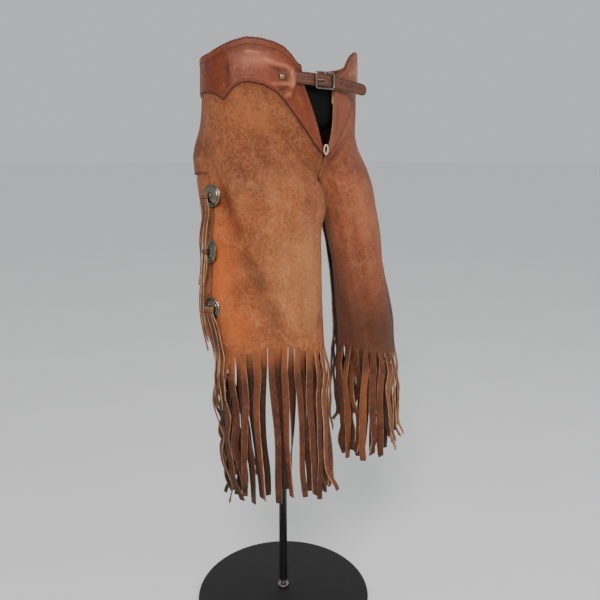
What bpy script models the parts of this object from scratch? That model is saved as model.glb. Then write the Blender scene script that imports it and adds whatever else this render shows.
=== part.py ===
"""Fringed leather chaps, worn on a limbless hip form with a pole and a round base.

Metres, +Z up. The origin is the centre of the base's underside, the front is -Y and the
wearer's right leg is at -X. Every piece of leather is a wall cut from one surface per leg,
moved in or out by whole layers, so pieces that lie on each other never cross.
"""

import math

import bmesh
import bpy
import numpy as np

# Leather: wall thickness, and the gap that keeps neighbouring pieces apart
WALL = 0.0026
GAP = 0.0003
LAP_GAP = 0.0006

# Waist and hips: half width, half depth and the place of their centre
WAIST_HALF_WIDTH = 0.156
WAIST_HALF_DEPTH = 0.104
WAIST_CENTRE_Y = -0.005
WAIST_HEIGHT = 1.03

# Stations run round a leg: 0 at the front edge, 8 at the back edge
DEGREES_PER_STATION = 22.0
LEG_START_ANGLE = -50.0
LEG_DEGREES_PER_STATION = 37.5
LEG_TURN = math.radians(44.0)
LEG_SQUARENESS = 0.92
BLEND_DROP = 0.14
STATION_ARC = 0.055

# Columns of every leather wall, and the column where the outer slit runs
COLUMNS = 25
COLUMN_STEP = 8.07 / (COLUMNS - 1)
SLIT_COLUMN = 15
LAP_COLUMN = 14
UPPER_ROWS = 4
LOWER_ROWS = 9
YOKE_ROWS = 4
UNDER_YOKE = 0.015
LINING_DEPTH = 0.042
LINING_ROWS = 2

# Fringe: two strands to a column, each cut narrower below its root
STRIP_HEIGHT = 0.006
STRAND_THICK = 0.0022
STRAND_WIDTH = 0.0068
STRAND_GAP = 0.0006
STRAND_RINGS = 6
RELAX_ROUNDS = 160
ROOT_CUTS = [0.0, 0.45, 0.5, 0.95]

# Stand
BASE_RADIUS = 0.178
BASE_CENTRE_HEIGHT = 0.018
BASE_EDGE_HEIGHT = 0.006
ROD_RADIUS = 0.0055
SLEEVE_RADIUS = 0.0082
SLEEVE_BOTTOM = 0.034
COLLAR_RADIUS = 0.0115
COLLAR_HEIGHT = 0.005
FORM_BOTTOM = 0.947
FORM_TOP = 1.022

# Strap and buckle
STRAP_WIDTH = 0.019
STRAP_THICK = 0.003
BUCKLE_X = -0.009
BUCKLE_Y = -0.1185
BUCKLE_WIDTH = 0.0445
BUCKLE_HEIGHT = 0.028
BUCKLE_WIRE = 0.0016
PRONG_RADIUS = 0.0011
PRONG_HOLE = 0.0048
PRONG_HOLE_AT = -0.0052
SPARE_HOLE = 0.0036
SPARE_HOLE_X = -0.0475
CHAPE_THICK = 0.0022

RIVET_RADIUS = 0.0048
RIVET_RISE = 0.0026
CONCHO_RADIUS = 0.018
CONCHO_RISE = 0.0065
LACE_RADIUS = 0.0014
KNOT_HEIGHT = 0.008
KNOT_THICK = 0.0032
STRAND_PITCH = 0.0046
TIE_THICK = 0.002
TIE_RINGS = 6

SIDES = {"right": -1, "left": 1}

# Height, and half width outwards, forward reach and half sizes of a leg's section
LEG_SECTIONS = [
    {"z": 0.94, "out": 0.064, "fore": 0.015, "long": 0.112, "short": 0.094},
    {"z": 0.90, "out": 0.078, "fore": 0.029, "long": 0.109, "short": 0.085},
    {"z": 0.85, "out": 0.097, "fore": 0.057, "long": 0.102, "short": 0.060},
    {"z": 0.76, "out": 0.111, "fore": 0.078, "long": 0.098, "short": 0.053},
    {"z": 0.67, "out": 0.122, "fore": 0.087, "long": 0.1005, "short": 0.054},
    {"z": 0.60, "out": 0.123, "fore": 0.099, "long": 0.097, "short": 0.058},
    {"z": 0.54, "out": 0.120, "fore": 0.106, "long": 0.092, "short": 0.060},
]

# Top edge of the belt, by degrees round from the front
BELT_TOP = [
    {"round": 9.0, "z": 1.0310},
    {"round": 14.0, "z": 1.0400},
    {"round": 21.0, "z": 1.0500},
    {"round": 25.0, "z": 1.0620},
    {"round": 30.0, "z": 1.0725},
    {"round": 37.0, "z": 1.0790},
    {"round": 46.0, "z": 1.0835},
    {"round": 56.0, "z": 1.0850},
    {"round": 68.0, "z": 1.0790},
    {"round": 80.0, "z": 1.0710},
    {"round": 92.0, "z": 1.0640},
    {"round": 120.0, "z": 1.0595},
    {"round": 150.0, "z": 1.0560},
    {"round": 180.0, "z": 1.0550},
]

# Lower edge of the yoke: arcs that meet in points, by degrees round from the front
YOKE_BOTTOM = [
    {"round": 0.0, "z": 0.9060},
    {"round": 4.0, "z": 0.9110},
    {"round": 9.0, "z": 0.9240},
    {"round": 15.0, "z": 0.9440},
    {"round": 20.0, "z": 0.9600},
    {"round": 25.0, "z": 0.9760},
    {"round": 30.0, "z": 0.9910},
    {"round": 36.0, "z": 1.0050},
    {"round": 44.0, "z": 1.0150},
    {"round": 54.0, "z": 1.0195},
    {"round": 60.0, "z": 1.0180},
    {"round": 66.0, "z": 1.0100},
    {"round": 74.0, "z": 0.9925},
    {"round": 82.0, "z": 1.0010},
    {"round": 92.0, "z": 1.0060},
    {"round": 108.0, "z": 1.0060},
    {"round": 126.0, "z": 0.9990},
    {"round": 140.6, "z": 0.9850},
    {"round": 152.0, "z": 0.9920},
    {"round": 180.0, "z": 0.9950},
]

# Front edge of each yoke, from the crotch up: degrees round from the front
FRONT_EDGE = {
    "right": [
        {"z": 0.880, "round": 0.9},
        {"z": 0.910, "round": 1.2},
        {"z": 0.926, "round": 3.2},
        {"z": 0.955, "round": 6.6},
        {"z": 0.988, "round": 11.6},
        {"z": 1.014, "round": 16.0},
        {"z": 1.040, "round": 18.3},
    ],
    "left": [
        {"z": 0.880, "round": 0.7},
        {"z": 0.905, "round": 0.9},
        {"z": 0.915, "round": 1.8},
        {"z": 0.935, "round": 4.4},
        {"z": 0.955, "round": 6.4},
        {"z": 0.990, "round": 7.3},
        {"z": 1.008, "round": 7.4},
        {"z": 1.032, "round": 9.6},
    ],
}

# Hem height by station, and the mean height where the fringe ends
HEM = {
    "right": [
        {"station": 0.0, "z": 0.598},
        {"station": 2.1, "z": 0.601},
        {"station": 3.0, "z": 0.612},
        {"station": 3.9, "z": 0.609},
        {"station": 4.5, "z": 0.597},
        {"station": 5.1, "z": 0.568},
        {"station": 6.2, "z": 0.563},
        {"station": 8.1, "z": 0.575},
    ],
    "left": [
        {"station": 0.0, "z": 0.579},
        {"station": 1.2, "z": 0.571},
        {"station": 2.5, "z": 0.560},
        {"station": 3.4, "z": 0.551},
        {"station": 5.1, "z": 0.547},
        {"station": 8.1, "z": 0.562},
    ],
}
FRINGE_END = {"right": 0.346, "left": 0.362}

# Where the seat is cut away at the back: how many stations the back edge draws in
SEAT_CUT = [
    {"z": 0.880, "draw": 0.0},
    {"z": 0.905, "draw": 0.45},
    {"z": 0.930, "draw": 0.95},
    {"z": 0.955, "draw": 1.0},
    {"z": 0.978, "draw": 0.3},
    {"z": 0.988, "draw": 0.0},
]

# Folds: a line from one station and height to another, with its half width and its height
# off the surface, negative for a trough
FOLDS = {
    "right": [
        {"from": 5.0, "z_from": 0.93, "to": 4.72, "z_to": 0.83, "half": 0.017, "lift": -0.007},
        {"from": 4.72, "z_from": 0.83, "to": 3.9, "z_to": 0.69, "half": 0.018, "lift": -0.010},
        {"from": 3.9, "z_from": 0.69, "to": 3.3, "z_to": 0.60, "half": 0.020, "lift": -0.007},
        {"from": 4.9, "z_from": 0.77, "to": 4.45, "z_to": 0.62, "half": 0.024, "lift": 0.006},
        {"from": 3.0, "z_from": 0.86, "to": 2.3, "z_to": 0.66, "half": 0.034, "lift": 0.006},
        {"from": 1.4, "z_from": 0.82, "to": 1.5, "z_to": 0.60, "half": 0.014, "lift": -0.003},
        {"from": 7.3, "z_from": 0.84, "to": 7.1, "z_to": 0.62, "half": 0.015, "lift": -0.004},
        {"from": 5.9, "z_from": 0.86, "to": 6.1, "z_to": 0.63, "half": 0.045, "lift": 0.0055},
        {"from": 1.2, "z_from": 0.875, "to": 1.25, "z_to": 0.82, "half": 0.035, "lift": 0.008},
    ],
    "left": [
        {"from": 4.4, "z_from": 0.90, "to": 3.6, "z_to": 0.72, "half": 0.018, "lift": -0.008},
        {"from": 3.6, "z_from": 0.72, "to": 3.2, "z_to": 0.56, "half": 0.020, "lift": -0.007},
        {"from": 2.4, "z_from": 0.84, "to": 2.1, "z_to": 0.60, "half": 0.030, "lift": 0.005},
        {"from": 1.3, "z_from": 0.78, "to": 1.5, "z_to": 0.58, "half": 0.013, "lift": -0.004},
        {"from": 4.9, "z_from": 0.80, "to": 4.4, "z_to": 0.60, "half": 0.024, "lift": 0.005},
        {"from": 6.5, "z_from": 0.84, "to": 6.4, "z_to": 0.62, "half": 0.015, "lift": -0.005},
        {"from": -0.3, "z_from": 0.825, "to": -0.3, "z_to": 0.56, "half": 0.050, "lift": 0.009},
        {"from": 8.3, "z_from": 0.84, "to": 8.3, "z_to": 0.56, "half": 0.050, "lift": 0.008},
    ],
}

# The upper panel stands off the flap at its rear lower edge: how far, in three rows down to
# the edge, and the share of it along the columns
FLARE_ROWS = [0.003, 0.0085, 0.0025]
FLARE = [
    {"column": 15.0, "share": 0.0},
    {"column": 16.0, "share": 0.75},
    {"column": 17.0, "share": 1.0},
    {"column": 21.0, "share": 0.8},
    {"column": 24.0, "share": 0.3},
]

# Conchos from the top, and the thongs tied to each: how far behind the concho's middle the
# knot sits and the strands then hang, how many strands there are, where they end, how far
# they stay off the leather, and the concho's turn to the back in degrees
CONCHOS = [
    {
        "name": "upper",
        "z": 0.843,
        "knot": 0.012,
        "drift": 0.032,
        "strands": 3,
        "end": 0.690,
        "clear": 0.0045,
        "turn": 24,
    },
    {
        "name": "middle",
        "z": 0.757,
        "knot": 0.004,
        "drift": 0.016,
        "strands": 3,
        "end": 0.602,
        "clear": 0.0085,
        "turn": 20,
    },
    {
        "name": "lower",
        "z": 0.666,
        "knot": -0.004,
        "drift": -0.003,
        "strands": 4,
        "end": 0.508,
        "clear": 0.0045,
        "turn": 4,
    },
]

# Middle line of the front strap, from its root on the right yoke to its free tip
STRAP_LINE = [
    {"x": -0.0640, "y": -0.1062, "z": 1.0274},
    {"x": -0.0540, "y": -0.1087, "z": 1.0272},
    {"x": -0.0440, "y": -0.1118, "z": 1.0268},
    {"x": -0.0330, "y": -0.1146, "z": 1.0262},
    {"x": -0.0272, "y": -0.1149, "z": 1.0260},
    {"x": -0.0190, "y": -0.1194, "z": 1.0256},
    {"x": -0.0130, "y": -0.1218, "z": 1.0254},
    {"x": -0.0050, "y": -0.1218, "z": 1.0251},
    {"x": 0.0010, "y": -0.1196, "z": 1.0249},
    {"x": 0.0088, "y": -0.1150, "z": 1.0246},
    {"x": 0.0142, "y": -0.1151, "z": 1.0242},
    {"x": 0.0210, "y": -0.1160, "z": 1.0236},
    {"x": 0.0350, "y": -0.1160, "z": 1.0222},
    {"x": 0.0600, "y": -0.1164, "z": 1.0196},
    {"x": 0.0820, "y": -0.1166, "z": 1.0170},
    {"x": 0.0970, "y": -0.1162, "z": 1.0150},
]

# Middle line of the short strap that holds the buckle, from its bar to the left yoke
CHAPE_LINE = [
    {"x": -0.0058, "y": -0.1172, "z": 1.0252},
    {"x": 0.0000, "y": -0.1143, "z": 1.0248},
    {"x": 0.0060, "y": -0.1122, "z": 1.0245},
    {"x": 0.0132, "y": -0.1117, "z": 1.0240},
    {"x": 0.0230, "y": -0.1124, "z": 1.0232},
    {"x": 0.0340, "y": -0.1119, "z": 1.0222},
    {"x": 0.0480, "y": -0.1091, "z": 1.0208},
    {"x": 0.0640, "y": -0.1052, "z": 1.0192},
]

COLOURS = {
    "panel": ((0.36, 0.115, 0.038, 1), 0.62, 0.0),
    "flap": ((0.22, 0.07, 0.026, 1), 0.66, 0.0),
    "yoke": ((0.20, 0.052, 0.022, 1), 0.42, 0.0),
    "lining": ((0.12, 0.04, 0.022, 1), 0.7, 0.0),
    "fringe": ((0.20, 0.062, 0.024, 1), 0.68, 0.0),
    "strap": ((0.075, 0.028, 0.014, 1), 0.5, 0.0),
    "lace": ((0.62, 0.52, 0.40, 1), 0.75, 0.0),
    "silver": ((0.42, 0.40, 0.36, 1), 0.32, 1.0),
    "brass": ((0.24, 0.20, 0.15, 1), 0.35, 1.0),
    "black": ((0.012, 0.012, 0.013, 1), 0.6, 0.0),
    "iron": ((0.02, 0.019, 0.019, 1), 0.55, 0.6),
    "steel": ((0.20, 0.19, 0.18, 1), 0.4, 1.0),
}


def column(table, name):
    return np.array([row[name] for row in table])


def read(table, key, name, at):
    """Value of a column at a place along the table's key, straight between its rows."""
    keys = column(table, key)
    order = np.argsort(keys)
    return np.interp(at, keys[order], column(table, name)[order])


def read_smooth(table, key, name, at):
    """Like read, with a curve through the rows that keeps its slope from row to row."""
    keys = column(table, key)
    order = np.argsort(keys)
    keys = keys[order]
    values = column(table, name)[order]
    slopes = np.gradient(values, keys)
    at = np.clip(at, keys[0], keys[-1])
    low = np.clip(np.searchsorted(keys, at) - 1, 0, len(keys) - 2)
    span = keys[low + 1] - keys[low]
    t = (at - keys[low]) / span
    first = (2 * t**3 - 3 * t**2 + 1) * values[low] + (t**3 - 2 * t**2 + t) * span * slopes[low]
    last = (3 * t**2 - 2 * t**3) * values[low + 1] + (t**3 - t**2) * span * slopes[low + 1]
    return first + last


def smooth_step(t):
    t = np.clip(t, 0.0, 1.0)
    return t * t * (3 - 2 * t)


def hip_point(side, station, z):
    """A point on the waist's oval, the same at every height but for a slight taper."""
    angle = np.radians(DEGREES_PER_STATION * station)
    taper = 0.02 * (WAIST_HEIGHT - z)
    x = side * (WAIST_HALF_WIDTH + taper) * np.sin(angle)
    y = WAIST_CENTRE_Y - (WAIST_HALF_DEPTH + taper) * np.cos(angle)
    return np.stack([x, y, z], axis=-1)


def leg_point(side, station, z):
    """A point on a leg's flattened oval, whose long axis runs from its back to the inner front."""
    angle = np.radians(LEG_START_ANGLE + LEG_DEGREES_PER_STATION * station)
    along = np.sign(np.cos(angle)) * np.abs(np.cos(angle)) ** LEG_SQUARENESS
    across = np.sign(np.sin(angle)) * np.abs(np.sin(angle)) ** LEG_SQUARENESS
    along = along * read_smooth(LEG_SECTIONS, "z", "long", z)
    across = across * read_smooth(LEG_SECTIONS, "z", "short", z)
    inward = -read_smooth(LEG_SECTIONS, "z", "out", z)
    inward = inward + along * math.cos(LEG_TURN) - across * math.sin(LEG_TURN)
    forward = read_smooth(LEG_SECTIONS, "z", "fore", z)
    forward = forward + along * math.sin(LEG_TURN) + across * math.cos(LEG_TURN)
    return np.stack([-side * inward, -forward, z], axis=-1)


def body_point(side, station, z):
    """The hip oval above and the leg oval below, with a soft change between them."""
    start = np.interp(station, [0.0, 1.0, 2.0], [0.915, 0.95, 0.985])
    share = smooth_step((start - z) / BLEND_DROP)[..., None]
    return hip_point(side, station, z) * (1 - share) + leg_point(side, station, z) * share


def fold_lift(name, station, z):
    """How far the folds move the leather out of its plain form."""
    lift = np.zeros_like(z)
    for fold in FOLDS[name]:
        high, low = fold["z_from"], fold["z_to"]
        line = np.interp(z, [low, high], [fold["to"], fold["from"]])
        past = np.maximum(z - high, low - z).clip(0.0)
        away = (station - line) * STATION_ARC
        lift = lift + fold["lift"] * np.exp(-((away / fold["half"]) ** 2) - (past / 0.022) ** 2)
    return lift * smooth_step((0.95 - z) / 0.07)


def surface(name, station, z):
    """The outer face of the leg leather, folds included."""
    side = SIDES[name]
    station, z = np.broadcast_arrays(np.asarray(station, float), np.asarray(z, float))
    point = body_point(side, station, z)
    ahead = body_point(side, station + 0.01, z) - body_point(side, station - 0.01, z)
    out = np.stack([ahead[..., 1], -ahead[..., 0], np.zeros_like(z)], axis=-1) * side
    out = out / np.linalg.norm(out, axis=-1, keepdims=True)
    return point + out * fold_lift(name, station, z)[..., None]


def normal(name, station, z):
    """Unit normals that point out of the leg."""
    step = 0.02
    rise = 0.002
    around = surface(name, station + step, z) - surface(name, station - step, z)
    up = surface(name, station, z + rise) - surface(name, station, z - rise)
    out = np.cross(around, up) * SIDES[name]
    return out / np.linalg.norm(out, axis=-1, keepdims=True)


def layer(name, station, z, offset):
    """The leather's face moved out of the leg, by one distance or by one for each point."""
    return surface(name, station, z) + normal(name, station, z) * np.asarray(offset)[..., None]


def station_at(name, place, z):
    """Station of a column: the front edge slants, and the seat is cut away at the back."""
    edge = read(FRONT_EDGE[name], "z", "round", z) / DEGREES_PER_STATION
    seat = read_smooth(SEAT_CUT, "z", "draw", z)
    station = place + edge * np.clip(1 - place / 2, 0, 1)
    return station - seat * np.clip((place - 6.0) / 2, 0, 1.035)


def height_on(name, place, table):
    """Height where a column meets an edge that is given by degrees round the waist."""
    z = np.full_like(place, 0.99)
    for _ in range(40):
        turn = station_at(name, place, z) * DEGREES_PER_STATION
        z = 0.5 * z + 0.5 * np.interp(turn, column(table, "round"), column(table, "z"))
    return z


def places():
    return np.arange(COLUMNS) * COLUMN_STEP


def rows_between(top, bottom, count):
    share = np.linspace(0.0, 1.0, count + 1)[:, None]
    return top[None, :] * (1 - share) + bottom[None, :] * share


def leg_heights(name):
    """Heights of the leg's rows: under the yoke, down to the slit's head, then to the hem."""
    place = places()
    yoke_foot = height_on(name, place, YOKE_BOTTOM)
    head = np.interp(place, [0.0, 5.0, 6.0, 7.0, 8.1], [0.872, 0.880, 0.874, 0.872, 0.878])
    hem = read_smooth(HEM[name], "station", "z", place)
    upper = rows_between(yoke_foot, head, UPPER_ROWS - 1)
    lower = rows_between(head, hem, LOWER_ROWS)
    return np.concatenate([yoke_foot[None, :] + UNDER_YOKE, upper, lower[1:]])


def wall(name, heights, outer, inner, keep=None, lift=0.0):
    """Points and triangles of a closed wall over a grid of columns and heights."""
    rows, columns = heights.shape
    place = np.broadcast_to(places()[:columns], heights.shape)
    station = station_at(name, place, heights)
    if keep is None:
        keep = np.ones((rows - 1, columns - 1), bool)
    points = np.concatenate(
        [
            layer(name, station, heights, outer + lift).reshape(-1, 3),
            layer(name, station, heights, inner + lift).reshape(-1, 3),
        ]
    )
    return points, wall_faces(keep, SIDES[name])


def wall_faces(keep, side):
    rows, columns = keep.shape[0] + 1, keep.shape[1] + 1
    shift = rows * columns
    faces = []

    def add(a, b, c):
        faces.append((a, b, c) if side < 0 else (a, c, b))

    def kept(r, c):
        return 0 <= r < rows - 1 and 0 <= c < columns - 1 and keep[r, c]

    for r in range(rows - 1):
        for c in range(columns - 1):
            if not keep[r, c]:
                continue
            a = r * columns + c
            b = a + 1
            d = a + columns
            e = d + 1
            add(a, b, e)
            add(a, e, d)
            add(a + shift, e + shift, b + shift)
            add(a + shift, d + shift, e + shift)
            edges = [
                (kept(r - 1, c), a, b),
                (kept(r, c + 1), b, e),
                (kept(r + 1, c), e, d),
                (kept(r, c - 1), d, a),
            ]
            for joined, p, q in edges:
                if not joined:
                    add(p, p + shift, q + shift)
                    add(p, q + shift, q)
    return faces


def material(name):
    found = bpy.data.materials.get(name)
    if found:
        return found
    colour, rough, metal = COLOURS[name]
    made = bpy.data.materials.new(name)
    made.use_nodes = True
    shader = made.node_tree.nodes["Principled BSDF"]
    shader.inputs["Base Color"].default_value = colour
    shader.inputs["Roughness"].default_value = rough
    shader.inputs["Metallic"].default_value = metal
    made.diffuse_color = colour
    return made


def put(name, mesh, look, crease=40.0):
    """Adds a mesh as one named piece, shaded smooth between its sharp edges."""
    mesh.materials.append(material(look))
    mesh.shade_smooth()
    mesh.set_sharp_from_angle(angle=math.radians(crease))
    made = bpy.data.objects.new(name, mesh)
    bpy.context.scene.collection.objects.link(made)
    return made


def solid(name, points, faces, look, crease=40.0):
    """A piece from points and faces, without unused points and facing outwards."""
    mesh = bpy.data.meshes.new(name)
    mesh.from_pydata([tuple(map(float, p)) for p in points], [], faces)
    shape = bmesh.new()
    shape.from_mesh(mesh)
    loose = [vert for vert in shape.verts if not vert.link_faces]
    bmesh.ops.delete(shape, geom=loose, context="VERTS")
    bmesh.ops.recalc_face_normals(shape, faces=shape.faces)
    if shape.calc_volume(signed=True) < 0:
        bmesh.ops.reverse_faces(shape, faces=shape.faces)
    shape.to_mesh(mesh)
    shape.free()
    return put(name, mesh, look, crease)


def turned(name, profile, steps, look, centre=(0.0, 0.0)):
    """A round piece: each profile row is a radius and a height, from the top down the outside."""
    points = []
    faces = []
    rings = []
    for radius, z in profile:
        if radius == 0.0:
            rings.append([len(points)])
            points.append((centre[0], centre[1], z))
            continue
        rings.append(list(range(len(points), len(points) + steps)))
        for i in range(steps):
            turn = 2 * math.pi * i / steps
            points.append(
                (centre[0] + radius * math.cos(turn), centre[1] + radius * math.sin(turn), z)
            )
    for upper, lower in zip(rings, rings[1:]):
        for i in range(steps):
            j = (i + 1) % steps
            if len(upper) == 1:
                faces.append((upper[0], lower[i], lower[j]))
            elif len(lower) == 1:
                faces.append((upper[i], lower[0], upper[j]))
            else:
                faces.append((upper[i], lower[i], lower[j], upper[j]))
    return solid(name, points, faces, look)


def ring_body(rings):
    """Faces of a body through rings of equal size, closed at both ends."""
    count = len(rings[0])
    points = [point for ring in rings for point in ring]
    faces = []
    for r in range(len(rings) - 1):
        for i in range(count):
            a = r * count + i
            b = r * count + (i + 1) % count
            faces.append((a, b, b + count, a + count))
    faces.append(tuple(range(count))[::-1])
    faces.append(tuple(range((len(rings) - 1) * count, len(rings) * count)))
    return points, faces


def make_stand():
    turned(
        "base_plate",
        [
            (0.0, BASE_CENTRE_HEIGHT),
            (0.045, BASE_CENTRE_HEIGHT - 0.0015),
            (0.11, 0.0120),
            (0.165, BASE_EDGE_HEIGHT + 0.0012),
            (BASE_RADIUS - 0.002, BASE_EDGE_HEIGHT),
            (BASE_RADIUS, BASE_EDGE_HEIGHT - 0.002),
            (BASE_RADIUS, 0.0),
            (0.0, 0.0),
        ],
        48,
        "iron",
    )
    seat = BASE_CENTRE_HEIGHT + GAP
    turned(
        "base_collar",
        [
            (0.0, seat + COLLAR_HEIGHT),
            (COLLAR_RADIUS - 0.001, seat + COLLAR_HEIGHT),
            (COLLAR_RADIUS, seat + COLLAR_HEIGHT - 0.001),
            (COLLAR_RADIUS, seat),
            (0.0, seat),
        ],
        20,
        "steel",
    )
    rod_foot = seat + COLLAR_HEIGHT + GAP
    turned(
        "inner_rod",
        [(0.0, SLEEVE_BOTTOM), (ROD_RADIUS, SLEEVE_BOTTOM), (ROD_RADIUS, rod_foot), (0.0, rod_foot)],
        14,
        "steel",
    )
    sleeve_top = FORM_BOTTOM - GAP
    sleeve_foot = SLEEVE_BOTTOM + GAP
    turned(
        "pole_sleeve",
        [
            (0.0, sleeve_top),
            (SLEEVE_RADIUS, sleeve_top),
            (SLEEVE_RADIUS, sleeve_foot),
            (0.0, sleeve_foot),
        ],
        16,
        "black",
    )


# Rings of the hip form, top to bottom: share of its full size, height of its lowest
# point, and how far it rises at the sides
FORM_RINGS = [
    {"share": 0.93, "z": FORM_TOP, "rise": 0.0},
    {"share": 0.985, "z": FORM_TOP - 0.006, "rise": 0.0},
    {"share": 1.0, "z": FORM_TOP - 0.016, "rise": 0.0},
    {"share": 1.0, "z": 0.985, "rise": 0.008},
    {"share": 0.985, "z": 0.966, "rise": 0.022},
    {"share": 0.93, "z": 0.953, "rise": 0.028},
    {"share": 0.80, "z": 0.9482, "rise": 0.024},
]


def make_form():
    """The black hip form, a smooth plug just inside the belt."""
    steps = 48
    inset = WALL + 3 * GAP
    rings = []
    for row in FORM_RINGS:
        half_width = (WAIST_HALF_WIDTH - inset) * row["share"]
        half_depth = (WAIST_HALF_DEPTH - inset) * row["share"]
        ring = []
        for i in range(steps):
            turn = 2 * math.pi * i / steps
            z = row["z"] + row["rise"] * math.sin(turn) ** 2
            x = half_width * math.sin(turn)
            y = WAIST_CENTRE_Y - half_depth * math.cos(turn)
            ring.append((x, y, z))
        rings.append(ring)
    points, faces = ring_body(rings)
    foot = faces.pop()
    top = faces.pop()
    points.append((0.0, 0.0, FORM_BOTTOM))
    points.append((0.0, WAIST_CENTRE_Y, FORM_TOP + 0.002))
    for loop, middle in ((foot, len(points) - 2), (top, len(points) - 1)):
        for i in range(steps):
            faces.append((loop[i], loop[(i + 1) % steps], middle))
    solid("hip_form", points, faces, "black")


def make_leg(name):
    """Leg panel with its outer slit, and the back flap that lies behind the slit."""
    heights = leg_heights(name)
    rows, columns = heights.shape
    keep = np.zeros((rows - 1, columns - 1), bool)
    keep[:UPPER_ROWS, :] = True
    keep[:, :SLIT_COLUMN] = True
    share = np.interp(np.arange(columns), column(FLARE, "column"), column(FLARE, "share"))
    lift = np.zeros(heights.shape)
    lift[UPPER_ROWS - 2 : UPPER_ROWS + 1] = np.array(FLARE_ROWS)[:, None] * share
    points, faces = wall(name, heights, 0.0, -WALL, keep, lift)
    solid("leg_panel_" + name, points, faces, "panel")

    keep = np.zeros((rows - 1, columns - 1), bool)
    keep[UPPER_ROWS - 1 :, LAP_COLUMN:] = True
    points, faces = wall(name, heights, -WALL - LAP_GAP, -2 * WALL - LAP_GAP, keep)
    solid("back_flap_" + name, points, faces, "flap")


def make_yoke(name):
    """Yoke with its scalloped lower edge, and the lining that shows at its top edge."""
    place = places()
    bottom = height_on(name, place, YOKE_BOTTOM)
    top = height_on(name, place, BELT_TOP)
    heights = rows_between(top, bottom + UNDER_YOKE, YOKE_ROWS - 1)
    heights = np.concatenate([heights, bottom[None, :]])
    points, faces = wall(name, heights, GAP + WALL, GAP)
    solid("yoke_" + name, points, faces, "yoke")

    lining_foot = np.maximum(top - LINING_DEPTH, bottom + UNDER_YOKE + 2 * GAP)
    heights = rows_between(top + 0.0018, lining_foot, LINING_ROWS)
    points, faces = wall(name, heights, 0.0, -WALL)
    solid("belt_lining_" + name, points, faces, "lining")


def hem_edge(name, first, last, outer):
    """Outer and inner points along a wall's lower edge, one pair for each column."""
    heights = leg_heights(name)[-1, first : last + 1]
    station = station_at(name, places()[first : last + 1], heights)
    front = layer(name, station, heights, outer)
    back = layer(name, station, heights, outer - WALL)
    return front, back


def hanging(edge, drop_gap, strip, rings_of):
    """A narrow strip with strands that grow from its lower face.

    The edge is a list of outer and inner points. Every other cell of the strip carries a
    strand, whose rings of four corners come from rings_of(cell, root corners)."""
    points = []
    faces = []
    down = np.array([0.0, 0.0, 1.0])
    count = len(edge)
    for front, back in edge:
        top = drop_gap
        foot = drop_gap + strip
        points += [front - down * top, back - down * top, front - down * foot, back - down * foot]
    for i in range(count - 1):
        a, b = 4 * i, 4 * i + 4
        faces += [(a, b, b + 1, a + 1), (a, a + 2, b + 2, b), (a + 1, b + 1, b + 3, a + 3)]
        if i % 2:
            faces.append((a + 2, a + 3, b + 3, b + 2))
            continue
        ring = [a + 2, b + 2, b + 3, a + 3]
        for corners in rings_of(i // 2, [points[v] for v in ring]):
            start = len(points)
            points += list(corners)
            fresh = [start, start + 1, start + 2, start + 3]
            for k in range(4):
                n = (k + 1) % 4
                faces.append((ring[k], fresh[k], fresh[n], ring[n]))
            ring = fresh
        faces.append(tuple(ring))
    faces.append((0, 1, 3, 2))
    last = 4 * (count - 1)
    faces.append((last, last + 2, last + 3, last + 1))
    return points, faces


def strand_rings(side, centres, turns, width, thick):
    """Four corners round each centre, the flat side turned by an angle in plan."""
    rings = []
    for centre, turn in zip(centres, turns):
        along = np.array([math.cos(turn), math.sin(turn), 0.0]) * width / 2
        out = np.array([math.sin(turn), -math.cos(turn), 0.0]) * side * thick / 2
        rings.append([centre - along + out, centre + along + out, centre + along - out, centre - along - out])
    return rings


def reach(turn, way, width):
    """How far a flat strand reaches from its centre along a direction in plan."""
    return width / 2 * np.abs(np.cos(way - turn)) + STRAND_THICK / 2 * np.abs(np.sin(way - turn))


def parted(centres, turns, widths):
    """Pushes strands apart in plan, at their rings and between them, until none meets another.

    The first ring holds the roots and stays."""
    own = np.eye(centres.shape[1], dtype=bool)
    for _ in range(RELAX_ROUNDS):
        push = np.zeros_like(centres)
        for ring in range(len(centres) - 1):
            for share in (0.25, 0.5, 0.75, 1.0):
                spots = centres[ring] * (1 - share) + centres[ring + 1] * share
                turn = turns[ring] * (1 - share) + turns[ring + 1] * share
                width = widths[ring] * (1 - share) + widths[ring + 1] * share
                away = spots[:, None] - spots[None, :]
                far = np.hypot(away[..., 0], away[..., 1]) + own
                way = np.arctan2(away[..., 1], away[..., 0])
                need = reach(turn[:, None], way, width[:, None]) + reach(turn[None, :], way, width[None, :])
                short = np.where(own, 0.0, np.clip(need + STRAND_GAP - far, 0.0, None))
                step = (away / far[..., None] * short[..., None]).sum(axis=1) * 0.3
                push[ring] += step * (1 - share)
                push[ring + 1] += step * share
        push[0] = 0.0
        centres = centres + push
    return centres


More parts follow.
